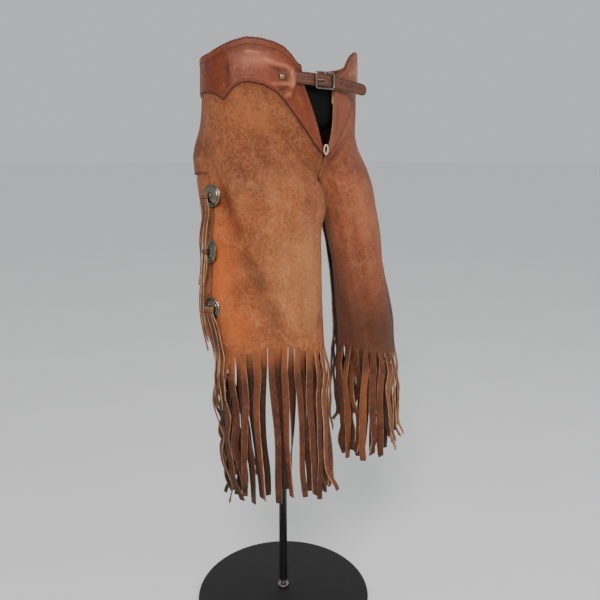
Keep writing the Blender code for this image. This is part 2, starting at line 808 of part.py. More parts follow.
def fringe_plan(name, roots, ways, root_widths):
    """Centres and turns of every strand of a leg, ring by ring, the roots first."""
    side = SIDES[name]
    seeded = np.random.default_rng(11 if side < 0 else 23)
    count = len(roots)
    out = np.stack([ways[:, 1], -ways[:, 0]], axis=1) * side
    end = FRINGE_END[name] + seeded.uniform(-0.017, 0.014, count)
    sway = seeded.normal(0.0, 0.005, count)
    wave = seeded.uniform(0.6, 1.3, count)
    phase = seeded.uniform(0.0, 2 * math.pi, count)
    depth = np.where(np.arange(count) % 2, 0.004, -0.004) + seeded.normal(0.0, 0.002, count)
    slit = roots[2 * SLIT_COLUMN]
    depth = np.where(np.linalg.norm(roots - slit, axis=1) < 0.045, -0.005, depth)
    curl = seeded.normal(0.0, 0.006, count)
    twist = seeded.normal(0.0, 0.8, count)
    heading = np.arctan2(ways[:, 1], ways[:, 0])
    lean = np.array([0.010, -0.010]) if side < 0 else np.array([0.004, -0.003])
    centres = [roots[:, :2]]
    turns = [heading]
    widths = [root_widths]
    for ring in range(1, STRAND_RINGS + 1):
        t = ring / STRAND_RINGS
        along = sway * t + 0.003 * np.sin(2 * math.pi * wave * t + phase) * t + curl * t**5
        shift = ways * along[:, None] + out * (depth * min(1.0, 2.0 * t))[:, None] + lean * t**2
        centres.append(roots[:, :2] + shift)
        turns.append(heading + twist * smooth_step(t))
        widths.append(np.full(count, STRAND_WIDTH))
    centres = parted(np.array(centres), np.array(turns), np.array(widths))
    share = np.arange(STRAND_RINGS + 1)[:, None] / STRAND_RINGS
    heights = roots[None, :, 2] * (1 - share) + end[None, :] * share
    return np.concatenate([centres, heights[..., None]], axis=-1), np.array(turns)


def cut_edge(front, back):
    """Splits each stretch of an edge at the cuts, and keeps its last point."""
    edge = []
    for i in range(len(front) - 1):
        for cut in ROOT_CUTS:
            edge.append(
                (front[i] * (1 - cut) + front[i + 1] * cut, back[i] * (1 - cut) + back[i + 1] * cut)
            )
    edge.append((front[-1], back[-1]))
    return edge


def make_fringe(name):
    """Strands cut from the hem all round the leg, on one strip for each wall."""
    stretches = [
        ("front_fringe_" + name, 0, SLIT_COLUMN, 0.0),
        ("rear_fringe_" + name, SLIT_COLUMN, COLUMNS - 1, -WALL - LAP_GAP),
    ]
    edges = [cut_edge(*hem_edge(name, first, last, outer)) for _, first, last, outer in stretches]
    roots = []
    ways = []
    root_widths = []
    for edge in edges:
        for i in range(0, len(edge) - 1, 2):
            corners = [edge[i][0], edge[i][1], edge[i + 1][0], edge[i + 1][1]]
            roots.append(sum(corners) / 4 - np.array([0.0, 0.0, GAP + STRIP_HEIGHT]))
            way = edge[i + 1][0] - edge[i][0]
            root_widths.append(np.linalg.norm(way[:2]))
            ways.append(way[:2] / root_widths[-1])
    centres, turns = fringe_plan(name, np.array(roots), np.array(ways), np.array(root_widths))
    start = 0
    for (node, _, _, _), edge in zip(stretches, edges):

        def rings_of(cell, _, start=start):
            own = start + cell
            rings = centres[1:, own]
            return strand_rings(SIDES[name], rings, turns[1:, own], STRAND_WIDTH, STRAND_THICK)

        points, faces = hanging(edge, GAP, STRIP_HEIGHT, rings_of)
        solid(node, points, faces, "fringe")
        start += len(edge) // 2


def facet_points(name, first, last, offset):
    """Points all over the flat triangles of a wall's face below the slit's head."""
    heights = leg_heights(name)[UPPER_ROWS:, first : last + 1]
    station = station_at(name, np.broadcast_to(places()[first : last + 1], heights.shape), heights)
    grid = layer(name, station, heights, offset)
    found = []
    for a in np.linspace(0.0, 1.0, 7):
        for b in np.linspace(0.0, 1.0, 7):
            third = grid[:-1, 1:] if a > b else grid[1:, :-1]
            low, high = min(a, b), max(a, b)
            found.append(grid[:-1, :-1] * (1 - high) + third * (high - low) + grid[1:, 1:] * low)
    return np.concatenate([part.reshape(-1, 3) for part in found])


def concho_frame(name, row):
    """Seat of a concho on the slit's edge, the way back along the leather and the way out."""
    z = row["z"]
    station = float(station_at(name, np.array(SLIT_COLUMN * COLUMN_STEP), np.array(z)))
    centre = surface(name, station, z)
    out = normal(name, station, z)
    back = surface(name, station + 0.05, z) - surface(name, station - 0.05, z)
    back = back - out * back.dot(out)
    back = back / np.linalg.norm(back)
    turn = math.radians(row["turn"])
    out, back = out * math.cos(turn) + back * math.sin(turn), back * math.cos(turn) - out * math.sin(turn)
    nearby = np.concatenate(
        [
            facet_points(name, SLIT_COLUMN - 3, SLIT_COLUMN, 0.0),
            facet_points(name, SLIT_COLUMN, SLIT_COLUMN + 3, -WALL - LAP_GAP),
        ]
    )
    nearby = nearby - centre
    rise = nearby @ out
    within = np.linalg.norm(nearby - rise[..., None] * out, axis=-1) < CONCHO_RADIUS * 1.08
    return centre + out * (rise[within].max() + 2 * GAP), back, out


def dome(name, centre, out, profile, steps, look):
    """A round piece whose axis runs out of the leather: rows of radius and height on it."""
    aside = np.cross(out, [0.0, 0.0, 1.0])
    aside = aside / np.linalg.norm(aside)
    up = np.cross(aside, out)
    points = [centre + out * profile[0][1]]
    faces = []
    for radius, rise in profile[1:-1]:
        for i in range(steps):
            turn = 2 * math.pi * i / steps
            points.append(centre + out * rise + (aside * math.cos(turn) + up * math.sin(turn)) * radius)
    points.append(centre + out * profile[-1][1])
    rows = len(profile) - 2
    for i in range(steps):
        j = (i + 1) % steps
        faces.append((0, 1 + i, 1 + j))
        for r in range(rows - 1):
            a, b = 1 + r * steps + i, 1 + r * steps + j
            faces.append((a, a + steps, b + steps, b))
        faces.append((1 + (rows - 1) * steps + i, len(points) - 1, 1 + (rows - 1) * steps + j))
    solid(name, points, faces, look)
    return np.array(points)


def make_concho(name, row):
    """A domed concho on the slit's edge, with its knotted thongs."""
    centre, back, out = concho_frame(name, row)
    profile = [
        (0.0, CONCHO_RISE),
        (CONCHO_RADIUS * 0.34, CONCHO_RISE * 0.93),
        (CONCHO_RADIUS * 0.66, CONCHO_RISE * 0.66),
        (CONCHO_RADIUS * 0.88, CONCHO_RISE * 0.30),
        (CONCHO_RADIUS, 0.0014),
        (CONCHO_RADIUS, 0.0),
        (0.0, 0.0),
    ]
    disc = dome("concho_%s_%s" % (row["name"], name), centre, out, profile, 16, "silver")
    make_tie(name, row, centre, back, out, disc)


def make_tie(name, row, centre, back, out, disc):
    """The knot in front of a concho, and the flat strands that fall from it."""
    cells = row["strands"]
    down = np.array([0.0, 0.0, -1.0])
    ahead = out * np.array([1.0, 1.0, 0.0])
    ahead = ahead / np.linalg.norm(ahead)
    behind = back * np.array([1.0, 1.0, 0.0])
    behind = behind / np.linalg.norm(behind)
    top = centre + behind * row["knot"] - down * KNOT_HEIGHT / 2
    half = cells * STRAND_PITCH / 2
    inside = np.abs((disc - top) @ behind) < half + 0.002
    inside &= np.abs((disc - centre) @ down) < KNOT_HEIGHT
    top = top + ahead * ((disc[inside] - top) @ ahead).max()
    edge = []
    for i in range(2 * cells):
        across = (i // 2) * STRAND_PITCH + (i % 2) * (STRAND_PITCH - 0.0008) - half
        inner = top + behind * across + ahead * GAP
        edge.append((inner + ahead * KNOT_THICK, inner))
    heading = math.atan2(behind[1], behind[0])
    seeded = np.random.default_rng(int(row["z"] * 1000) + cells)
    splay = seeded.uniform(-0.2, 1.0, cells)

    start = station_at(name, np.array(SLIT_COLUMN * COLUMN_STEP), np.array(row["z"]))
    per_metre = 0.1 / np.linalg.norm(
        surface(name, start + 0.05, row["z"]) - surface(name, start - 0.05, row["z"])
    )

    def rings_of(cell, corners):
        length = (row["z"] - row["end"]) * (0.90 + 0.10 * (cell % 2))
        middle = (cell - (cells - 1) / 2) * STRAND_PITCH
        spots = []
        for t in np.arange(1, TIE_RINGS + 1) / TIE_RINGS:
            aside = row["knot"] + (row["drift"] - row["knot"]) * min(1.0, 2.6 * t)
            height = corners[0][2] - length * t
            rest = layer(name, start + aside * per_metre, height, row["clear"])
            off = 0.0028 * (cell % 2) + 0.011 * smooth_step((0.60 - height) / 0.05)
            along = middle * (1 + 0.1 * t) + 0.002 * splay[cell] * t**3
            spots.append(rest + behind * along + ahead * off)
        turns = heading + 0.12 * (-1) ** cell * np.arange(1, TIE_RINGS + 1) / TIE_RINGS
        return strand_rings(SIDES[name], spots, turns, STRAND_PITCH - 0.0009, TIE_THICK)

    points, faces = hanging(edge, 0.0, KNOT_HEIGHT, rings_of)
    solid("tie_%s_%s" % (row["name"], name), points, faces, "strap")


def flat_strap(line, width, thick, tip):
    """Rings of a strap along its middle line, flat side forwards, its tip rounded."""
    middle = np.stack([column(line, "x"), column(line, "y"), column(line, "z")], axis=1)
    way = np.gradient(middle, axis=0)
    way = way / np.linalg.norm(way, axis=1, keepdims=True)
    widths = np.full(len(middle), width)
    if tip:
        for back, share in ((0.012, 1.0), (0.006, 0.86), (0.002, 0.58)):
            middle = np.concatenate([middle[:-1], [middle[-1] - way[-1] * back], middle[-1:]])
            way = np.concatenate([way, way[-1:]])
            widths = np.concatenate([widths[:-1], [width * share], widths[-1:]])
        widths[-1] = width * 0.3
    rings = []
    for spot, ahead, wide in zip(middle, way, widths):
        out = np.array([ahead[1], -ahead[0], 0.0])
        out = out / np.linalg.norm(out)
        up = np.cross(out, ahead)
        up = up * (1 if up[2] > 0 else -1)
        rings.append(
            [
                spot + up * wide / 2 + out * thick / 2,
                spot - up * wide / 2 + out * thick / 2,
                spot - up * wide / 2 - out * thick / 2,
                spot + up * wide / 2 - out * thick / 2,
            ]
        )
    return ring_body(rings)


def tube(rings_at, radius, sides, closed):
    """A round tube through points, with its rings square to the way it runs."""
    spots = np.array(rings_at)
    count = len(spots)
    rings = []
    for i in range(count):
        before = spots[i - 1] if closed or i else spots[0]
        after = spots[(i + 1) % count] if closed or i < count - 1 else spots[-1]
        way = (after - before) / np.linalg.norm(after - before)
        flat = np.cross(way, [0.0, 1.0, 0.0])
        flat = flat / np.linalg.norm(flat)
        depth = np.cross(way, flat)
        turns = [2 * math.pi * k / sides for k in range(sides)]
        rings.append([spots[i] + (flat * math.cos(a) + depth * math.sin(a)) * radius for a in turns])
    if not closed:
        return ring_body(rings)
    points = [point for ring in rings for point in ring]
    faces = []
    for r in range(count):
        for k in range(sides):
            n = (k + 1) % sides
            s = ((r + 1) % count) * sides
            faces.append((r * sides + k, r * sides + n, s + n, s + k))
    return points, faces


def joined(base, other):
    """Unions one piece into another and removes the helper."""
    union = base.modifiers.new("union", "BOOLEAN")
    union.operation = "UNION"
    union.solver = "EXACT"
    union.object = other
    other.hide_render = True
    other.display_type = "WIRE"


def punched(strap, x, y, z, width):
    """Cuts a round hole through a strap, from front to back."""
    bpy.ops.mesh.primitive_cylinder_add(
        vertices=10, radius=width / 2, depth=0.02, location=(x, y, z), rotation=(math.pi / 2, 0, 0)
    )
    cutter = bpy.context.object
    cutter.name = "hole_cutter"
    cutter.hide_render = True
    cutter.display_type = "WIRE"
    cut = strap.modifiers.new("hole", "BOOLEAN")
    cut.operation = "DIFFERENCE"
    cut.solver = "EXACT"
    cut.object = cutter


def make_strap():
    points, faces = flat_strap(STRAP_LINE, STRAP_WIDTH, STRAP_THICK, True)
    strap = solid("front_strap", points, faces, "strap")
    punched(strap, BUCKLE_X + PRONG_HOLE_AT, BUCKLE_Y, 1.0254, PRONG_HOLE)
    punched(strap, SPARE_HOLE_X, -0.111, 1.0269, SPARE_HOLE)
    points, faces = flat_strap(CHAPE_LINE, STRAP_WIDTH, CHAPE_THICK, False)
    solid("buckle_chape", points, faces, "strap")


def make_buckle():
    """Frame with a middle bar, and the prong that rests on its right-leg side."""
    height = 1.0254
    half_wide = BUCKLE_WIDTH / 2 - BUCKLE_WIRE
    half_high = BUCKLE_HEIGHT / 2 - BUCKLE_WIRE
    corner = 0.0045
    loop = []
    for across, rise, start in ((1, 1, 0), (-1, 1, 90), (-1, -1, 180), (1, -1, 270)):
        for step in range(4):
            turn = math.radians(start + 30 * step)
            x = across * (half_wide - corner) + corner * math.cos(turn)
            z = rise * (half_high - corner) + corner * math.sin(turn)
            loop.append((BUCKLE_X + x, BUCKLE_Y, height + z))
    points, faces = tube(loop, BUCKLE_WIRE, 8, True)
    frame = solid("buckle_frame", points, faces, "silver")
    bar = [(BUCKLE_X, BUCKLE_Y, height + half_high * s) for s in (-1.0, 1.0)]
    points, faces = tube(bar, BUCKLE_WIRE * 0.92, 8, False)
    joined(frame, solid("buckle_bar_helper", points, faces, "silver"))

    prong = [
        (BUCKLE_X - 0.0034, BUCKLE_Y + 0.0006, height),
        (BUCKLE_X - 0.0046, BUCKLE_Y - 0.0022, height),
        (BUCKLE_X - 0.0064, BUCKLE_Y - 0.0055, height),
        (BUCKLE_X - 0.0110, BUCKLE_Y - 0.0052, height),
        (BUCKLE_X - half_wide - 0.0022, BUCKLE_Y - BUCKLE_WIRE - PRONG_RADIUS - GAP, height),
    ]
    points, faces = tube(prong, PRONG_RADIUS, 6, False)
    solid("buckle_prong", points, faces, "silver")


def make_fastenings():
    rivet = [
        (0.0, RIVET_RISE),
        (RIVET_RADIUS * 0.6, RIVET_RISE * 0.8),
        (RIVET_RADIUS, RIVET_RISE * 0.25),
        (RIVET_RADIUS, 0.0),
        (0.0, 0.0),
    ]
    station = 31.8 / DEGREES_PER_STATION
    seat = layer("right", station, 1.0278, WALL + 2 * GAP + 0.0002)
    dome("strap_rivet", seat, normal("right", station, 1.0278), rivet, 14, "brass")
    spot = np.array([CHAPE_LINE[-1]["x"] - 0.009, 0.0, 1.0198])
    share = (CHAPE_LINE[-1]["x"] - spot[0]) / (CHAPE_LINE[-1]["x"] - CHAPE_LINE[-2]["x"])
    spot[1] = CHAPE_LINE[-1]["y"] * (1 - share) + CHAPE_LINE[-2]["y"] * share
    ahead = np.array([0.019, 0.005, 0.0]) / np.linalg.norm([0.019, 0.005])
    out = np.array([ahead[1], -ahead[0], 0.0])
    small = [(radius * 0.8, rise * 0.6) for radius, rise in rivet]
    dome("chape_rivet", spot + out * (CHAPE_THICK / 2 + GAP), out, small, 12, "brass")

    tips = [layer(name, 0.2, np.linspace(0.905, 0.926, 8), GAP + WALL)[:, 1].min() for name in SIDES]
    loop = []
    for i in range(16):
        turn = 2 * math.pi * i / 16
        x = -0.002 + 0.0048 * math.cos(turn)
        loop.append((x, min(tips) - LACE_RADIUS - 2 * GAP, 0.9155 + 0.0078 * math.sin(turn)))
    points, faces = tube(loop, LACE_RADIUS, 6, True)
    solid("crotch_lace", points, faces, "lace")

    zigzag = []
    for i in range(6):
        zigzag.append((0.0135 * (-1) ** i, 0.1034, 1.044 - 0.009 * i))
    points, faces = tube(zigzag, 0.0012, 6, False)
    solid("back_lace", points, faces, "lace")


def main():
    for old in list(bpy.data.objects):
        bpy.data.objects.remove(old, do_unlink=True)
    make_stand()
    make_form()
    for name in SIDES:
        make_leg(name)
        make_yoke(name)
        make_fringe(name)
        for row in CONCHOS:
            make_concho(name, row)
    make_strap()
    make_buckle()
    make_fastenings()


main()
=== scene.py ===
import math

import bmesh
import bpy
import numpy as np
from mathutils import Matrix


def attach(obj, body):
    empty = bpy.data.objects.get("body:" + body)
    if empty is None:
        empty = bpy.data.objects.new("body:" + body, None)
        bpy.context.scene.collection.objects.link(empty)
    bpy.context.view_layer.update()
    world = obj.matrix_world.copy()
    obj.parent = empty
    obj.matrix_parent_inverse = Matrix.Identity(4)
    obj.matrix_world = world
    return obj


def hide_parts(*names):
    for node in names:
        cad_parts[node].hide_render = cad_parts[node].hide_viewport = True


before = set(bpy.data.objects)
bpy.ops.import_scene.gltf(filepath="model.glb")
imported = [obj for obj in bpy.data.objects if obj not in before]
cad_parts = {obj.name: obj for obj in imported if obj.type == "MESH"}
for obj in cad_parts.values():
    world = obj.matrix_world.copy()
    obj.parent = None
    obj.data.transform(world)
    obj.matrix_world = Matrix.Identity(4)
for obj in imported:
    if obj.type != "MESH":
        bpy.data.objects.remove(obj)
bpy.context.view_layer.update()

# Leather thickness and the gaps between layers, as in the solids
leather = {"wall": 0.0026, "gap": 0.0003, "lapGap": 0.0006, "hemStrip": 0.0063}

# The waist's oval and the turn of each leg's flattened oval
waist = {"halfWidth": 0.156, "halfDepth": 0.104, "centreY": -0.005, "height": 1.03, "degrees": 22.0}
legShape = {"start": -50.0, "degrees": 37.5, "turn": math.radians(44.0), "square": 0.92, "blend": 0.14}
grid = {"columns": 25, "step": 8.07 / 24, "slit": 15, "lap": 14}
underYoke = 0.015
stationArc = 0.055
sides = {"right": -1, "left": 1}

legSections = [
    {"z": 0.54, "out": 0.120, "fore": 0.106, "long": 0.092, "short": 0.060},
    {"z": 0.60, "out": 0.123, "fore": 0.099, "long": 0.097, "short": 0.058},
    {"z": 0.67, "out": 0.122, "fore": 0.087, "long": 0.1005, "short": 0.054},
    {"z": 0.76, "out": 0.111, "fore": 0.078, "long": 0.098, "short": 0.053},
    {"z": 0.85, "out": 0.097, "fore": 0.057, "long": 0.102, "short": 0.060},
    {"z": 0.90, "out": 0.078, "fore": 0.029, "long": 0.109, "short": 0.085},
    {"z": 0.94, "out": 0.064, "fore": 0.015, "long": 0.112, "short": 0.094},
]

# Belt top and yoke bottom: degrees round from the front against height
beltTop = {
    "round": [9, 14, 21, 25, 30, 37, 46, 56, 68, 80, 92, 120, 150, 180],
    "z": [
        1.0310, 1.0400, 1.0500, 1.0620, 1.0725, 1.0790, 1.0835,
        1.0850, 1.0790, 1.0710, 1.0640, 1.0595, 1.0560, 1.0550,
    ],
}
yokeBottom = {
    "round": [0, 4, 9, 15, 20, 25, 30, 36, 44, 54, 60, 66, 74, 82, 92, 108, 126, 140.6, 152, 180],
    "z": [
        0.9060, 0.9110, 0.9240, 0.9440, 0.9600, 0.9760, 0.9910, 1.0050, 1.0150, 1.0195,
        1.0180, 1.0100, 0.9925, 1.0010, 1.0060, 1.0060, 0.9990, 0.9850, 0.9920, 0.9950,
    ],
}
frontEdge = {
    "right": {
        "z": [0.880, 0.910, 0.926, 0.955, 0.988, 1.014, 1.040],
        "round": [0.9, 1.2, 3.2, 6.6, 11.6, 16.0, 18.3],
    },
    "left": {
        "z": [0.880, 0.905, 0.915, 0.935, 0.955, 0.990, 1.008, 1.032],
        "round": [0.7, 0.9, 1.8, 4.4, 6.4, 7.3, 7.4, 9.6],
    },
}
hem = {
    "right": {
        "station": [0.0, 2.1, 3.0, 3.9, 4.5, 5.1, 6.2, 8.1],
        "z": [0.598, 0.601, 0.612, 0.609, 0.597, 0.568, 0.563, 0.575],
    },
    "left": {
        "station": [0.0, 1.2, 2.5, 3.4, 5.1, 8.1],
        "z": [0.579, 0.571, 0.560, 0.551, 0.547, 0.562],
    },
}
seatCut = {
    "z": [0.880, 0.905, 0.930, 0.955, 0.978, 0.988],
    "draw": [0.0, 0.45, 0.95, 1.0, 0.3, 0.0],
}
slitHead = {"place": [0.0, 5.0, 6.0, 7.0, 8.1], "z": [0.872, 0.880, 0.874, 0.872, 0.878]}

# Folds of the solids: from one station and height to another, half width and lift
folds = {
    "right": [
        (5.0, 0.93, 4.72, 0.83, 0.017, -0.007),
        (4.72, 0.83, 3.9, 0.69, 0.018, -0.010),
        (3.9, 0.69, 3.3, 0.60, 0.020, -0.007),
        (4.9, 0.77, 4.45, 0.62, 0.024, 0.006),
        (3.0, 0.86, 2.3, 0.66, 0.034, 0.006),
        (1.4, 0.82, 1.5, 0.60, 0.014, -0.003),
        (7.3, 0.84, 7.1, 0.62, 0.015, -0.004),
        (5.9, 0.86, 6.1, 0.63, 0.045, 0.0055),
        (1.2, 0.875, 1.25, 0.82, 0.035, 0.008),
    ],
    "left": [
        (4.4, 0.90, 3.6, 0.72, 0.018, -0.008),
        (3.6, 0.72, 3.2, 0.56, 0.020, -0.007),
        (2.4, 0.84, 2.1, 0.60, 0.030, 0.005),
        (1.3, 0.78, 1.5, 0.58, 0.013, -0.004),
        (4.9, 0.80, 4.4, 0.60, 0.024, 0.005),
        (6.5, 0.84, 6.4, 0.62, 0.015, -0.005),
        (-0.3, 0.825, -0.3, 0.56, 0.050, 0.009),
        (8.3, 0.84, 8.3, 0.56, 0.050, 0.008),
    ],
}

# Finer creases laid over them, uneven along their length
creases = {
    "right": [
        (0.35, 0.900, 1.6, 0.862, 0.007, -0.0016),
        (0.30, 0.888, 1.25, 0.828, 0.008, -0.0020),
        (0.20, 0.868, 0.85, 0.780, 0.009, -0.0018),
        (1.2, 0.905, 2.4, 0.885, 0.010, -0.0010),
        (5.3, 0.945, 5.0, 0.875, 0.006, -0.0022),
        (5.9, 0.950, 5.7, 0.885, 0.010, 0.0022),
        (6.6, 0.955, 6.3, 0.895, 0.009, -0.0020),
        (4.2, 0.760, 3.4, 0.655, 0.007, -0.0014),
        (3.5, 0.700, 2.9, 0.625, 0.010, 0.0014),
        (2.1, 0.690, 1.8, 0.605, 0.009, -0.0012),
        (0.5, 0.750, 0.7, 0.610, 0.010, 0.0014),
        (7.6, 0.860, 7.3, 0.720, 0.009, 0.0016),
        (6.9, 0.760, 6.7, 0.585, 0.010, -0.0016),
        (5.5, 0.800, 5.6, 0.700, 0.008, -0.0014),
        (4.85, 0.850, 4.15, 0.765, 0.011, -0.0020),
        (4.15, 0.765, 3.60, 0.690, 0.012, -0.0024),
        (3.60, 0.690, 3.10, 0.605, 0.012, -0.0018),
    ],
    "left": [
        (0.30, 0.905, 1.5, 0.870, 0.007, -0.0018),
        (0.25, 0.890, 1.1, 0.835, 0.008, -0.0020),
        (0.20, 0.865, 0.8, 0.785, 0.009, -0.0016),
        (1.1, 0.915, 2.2, 0.895, 0.009, -0.0012),
        (5.2, 0.945, 4.9, 0.880, 0.007, -0.0020),
        (5.9, 0.950, 5.8, 0.890, 0.010, 0.0020),
        (6.7, 0.950, 6.3, 0.900, 0.009, -0.0018),
        (3.1, 0.740, 2.5, 0.640, 0.008, -0.0014),
        (2.8, 0.655, 2.6, 0.575, 0.010, 0.0014),
        (0.6, 0.720, 0.8, 0.600, 0.010, 0.0014),
        (7.5, 0.850, 7.3, 0.700, 0.009, 0.0016),
        (6.2, 0.740, 6.0, 0.580, 0.010, -0.0014),
        (5.4, 0.780, 5.5, 0.680, 0.008, -0.0012),
    ],
}

# Creases pulled into the yoke by its strap: degrees round and height of both ends
yokeCreases = {
    "right": [
        (24.0, 1.0395, 47.0, 1.0545, 0.0032, 0.0013),
        (27.0, 1.0335, 44.0, 1.0440, 0.0024, -0.0009),
        (25.0, 1.0180, 41.0, 1.0150, 0.0026, 0.0010),
        (25.5, 1.0120, 36.0, 1.0060, 0.0024, -0.0009),
        (24.5, 1.0060, 31.0, 0.9960, 0.0028, 0.0011),
        (25.6, 1.0400, 25.2, 1.0080, 0.0036, 0.0022),
        (44.0, 1.0610, 60.0, 1.0640, 0.0030, 0.0009),
        (70.0, 1.0560, 71.0, 1.0150, 0.0050, -0.0008),
    ],
    "left": [
        (22.0, 1.0380, 46.0, 1.0520, 0.0032, 0.0012),
        (23.0, 1.0180, 40.0, 1.0140, 0.0026, 0.0010),
        (23.0, 1.0080, 32.0, 0.9980, 0.0026, -0.0009),
        (70.0, 1.0560, 71.0, 1.0150, 0.0050, -0.0008),
    ],
}


def readTable(table, key, name, at):
    return np.interp(at, table[key], table[name])


def readSmooth(keys, values, at):
    # cubic through the rows, with the slope of each row kept
    keys = np.array(keys, float)
    values = np.array(values, float)
    slopes = np.gradient(values, keys)
    at = np.clip(at, keys[0], keys[-1])
    low = np.clip(np.searchsorted(keys, at) - 1, 0, len(keys) - 2)
    span = keys[low + 1] - keys[low]
    t = (at - keys[low]) / span
    first = (2 * t**3 - 3 * t**2 + 1) * values[low] + (t**3 - 2 * t**2 + t) * span * slopes[low]
    last = (3 * t**2 - 2 * t**3) * values[low + 1] + (t**3 - t**2) * span * slopes[low + 1]
    return first + last


sectionHeights = [row["z"] for row in legSections]
sectionValues = {key: [row[key] for row in legSections] for key in ("out", "fore", "long", "short")}


def section(name, z):
    return readSmooth(sectionHeights, sectionValues[name], z)


def readPath(keys, points, at):
    return np.stack([readSmooth(keys, points[:, k], at) for k in range(3)], axis=1)


def lengthAlong(points):
    steps = np.linalg.norm(np.diff(points, axis=0), axis=1)
    return np.concatenate([[0.0], np.cumsum(steps)])


def bell(values, at, half):
    return np.exp(-(((values - at) / half) ** 2))


def spotAt(across, heights, at, z, half, tall):
    # a soft round patch, 1 at its middle
    return bell(across, at, half) * bell(heights, z, tall)


def circle(steps):
    return np.linspace(0.0, 2 * math.pi, steps, endpoint=False)


def smoothStep(t):
    t = np.clip(t, 0.0, 1.0)
    return t * t * (3 - 2 * t)


def signedPower(values, power):
    return np.sign(values) * np.abs(values) ** power


def unit(vector):
    return vector / np.linalg.norm(vector, axis=-1, keepdims=True)


def hipPoint(side, station, z):
    angle = np.radians(waist["degrees"] * station)
    taper = 0.02 * (waist["height"] - z)
    x = side * (waist["halfWidth"] + taper) * np.sin(angle)
    y = waist["centreY"] - (waist["halfDepth"] + taper) * np.cos(angle)
    return np.stack([x, y, z], axis=-1)


def legPoint(side, station, z):
    angle = np.radians(legShape["start"] + legShape["degrees"] * station)
    power = legShape["square"]
    along = signedPower(np.cos(angle), power) * section("long", z)
    across = signedPower(np.sin(angle), power) * section("short", z)
    turn = legShape["turn"]
    inward = along * math.cos(turn) - across * math.sin(turn) - section("out", z)
    forward = section("fore", z) + along * math.sin(turn) + across * math.cos(turn)
    return np.stack([-side * inward, -forward, z], axis=-1)


def bodyPoint(side, station, z):
    start = np.interp(station, [0.0, 1.0, 2.0], [0.915, 0.95, 0.985])
    share = smoothStep((start - z) / legShape["blend"])[..., None]
    return hipPoint(side, station, z) * (1 - share) + legPoint(side, station, z) * share


def foldsAt(rows, across, z, arc, fade):
    lift = np.zeros_like(z)
    for first, high, last, low, half, rise in rows:
        line = np.interp(z, [low, high], [last, first])
        past = np.maximum(z - high, low - z).clip(0.0)
        lift = lift + rise * np.exp(-(((across - line) * arc / half) ** 2) - (past / fade) ** 2)
    return lift


def slantAt(rows, across, z, arc):
    # creases at any angle: distance to the line between two ends, uneven along it
    lift = np.zeros_like(z)
    for number, (first, high, last, low, half, rise) in enumerate(rows):
        start = np.array([first * arc, high])
        way = np.array([last * arc, low]) - start
        length = np.hypot(*way)
        dx = across * arc - start[0]
        dz = z - start[1]
        t = (dx * way[0] + dz * way[1]) / length**2
        away = (dx * way[1] - dz * way[0]) / length
        away = away + 0.18 * half * np.sin(7.0 * t + number * 1.7)
        ends = smoothStep(t / 0.3) * smoothStep((1 - t) / 0.35)
        wave = 0.78 + 0.22 * np.sin(11.0 * t + number * 2.3)
        lift = lift + rise * wave * ends * bell(away, 0.0, half)
    return lift


def creaseLift(name, station, z):
    lift = slantAt(creases[name], station, z, stationArc)
    side = sides[name]
    soft = 0.0007 * np.sin(5.1 * station + 19.0 * z + side) * np.sin(3.3 * station - 31.0 * z + 2.0 * side)
    soft = soft + 0.0004 * np.sin(11.0 * station - 47.0 * z) * np.sin(6.0 * station + 71.0 * z)
    return (lift + soft) * smoothStep((0.945 - z) / 0.05)


def surface(name, station, z, fine=True):
    side = sides[name]
    station, z = np.broadcast_arrays(np.asarray(station, float), np.asarray(z, float))
    point = bodyPoint(side, station, z)
    ahead = bodyPoint(side, station + 0.01, z) - bodyPoint(side, station - 0.01, z)
    out = unit(np.stack([ahead[..., 1], -ahead[..., 0], np.zeros_like(z)], axis=-1) * side)
    lift = foldsAt(folds[name], station, z, stationArc, 0.022) * smoothStep((0.95 - z) / 0.07)
    if fine:
        lift = lift + creaseLift(name, station, z)
    return point + out * lift[..., None]


def normalAt(name, station, z, fine=True):
    around = surface(name, station + 0.02, z, fine) - surface(name, station - 0.02, z, fine)
    up = surface(name, station, z + 0.002, fine) - surface(name, station, z - 0.002, fine)
    return unit(np.cross(around, up) * sides[name])


def layer(name, station, z, offset, fine=True):
    station, z = np.broadcast_arrays(np.asarray(station, float), np.asarray(z, float))
    out = normalAt(name, station, z, fine)
    return surface(name, station, z, fine) + out * np.asarray(offset)[..., None]


def stationAt(name, place, z):
    edge = readTable(frontEdge[name], "z", "round", z) / waist["degrees"]
    seat = readSmooth(seatCut["z"], seatCut["draw"], z)
    station = place + edge * np.clip(1 - place / 2, 0, 1)
    return station - seat * np.clip((place - 6.0) / 2, 0, 1.035)


def heightOn(name, place, table):
    z = np.full_like(place, 0.99)
    for _ in range(40):
        turn = stationAt(name, place, z) * waist["degrees"]
        z = 0.5 * z + 0.5 * np.interp(turn, table["round"], table["z"])
    return z


def hemHeight(name, place):
    return readSmooth(hem[name]["station"], hem[name]["z"], place)


def linked(label, data):
    piece = bpy.data.objects.new(label, data)
    bpy.context.scene.collection.objects.link(piece)
    return piece


def makeMesh(label, points, faces, looks, uv=None, fields=None):
    mesh = bpy.data.meshes.new(label)
    mesh.from_pydata([tuple(p) for p in points], [], faces)
    for look in looks:
        mesh.materials.append(look)
    for key, values in (fields or {}).items():
        field = mesh.attributes.new(key, "FLOAT", "POINT")
        field.data.foreach_set("value", np.asarray(values, np.float32).ravel())
    if uv is not None:
        layerUv = mesh.uv_layers.new(name="flat")
        corner = np.empty(len(mesh.loops), np.int32)
        mesh.loops.foreach_get("vertex_index", corner)
        layerUv.data.foreach_set("uv", np.asarray(uv, np.float32)[corner].ravel())
    mesh.shade_smooth()
    mesh.update()
    return linked(label, mesh)


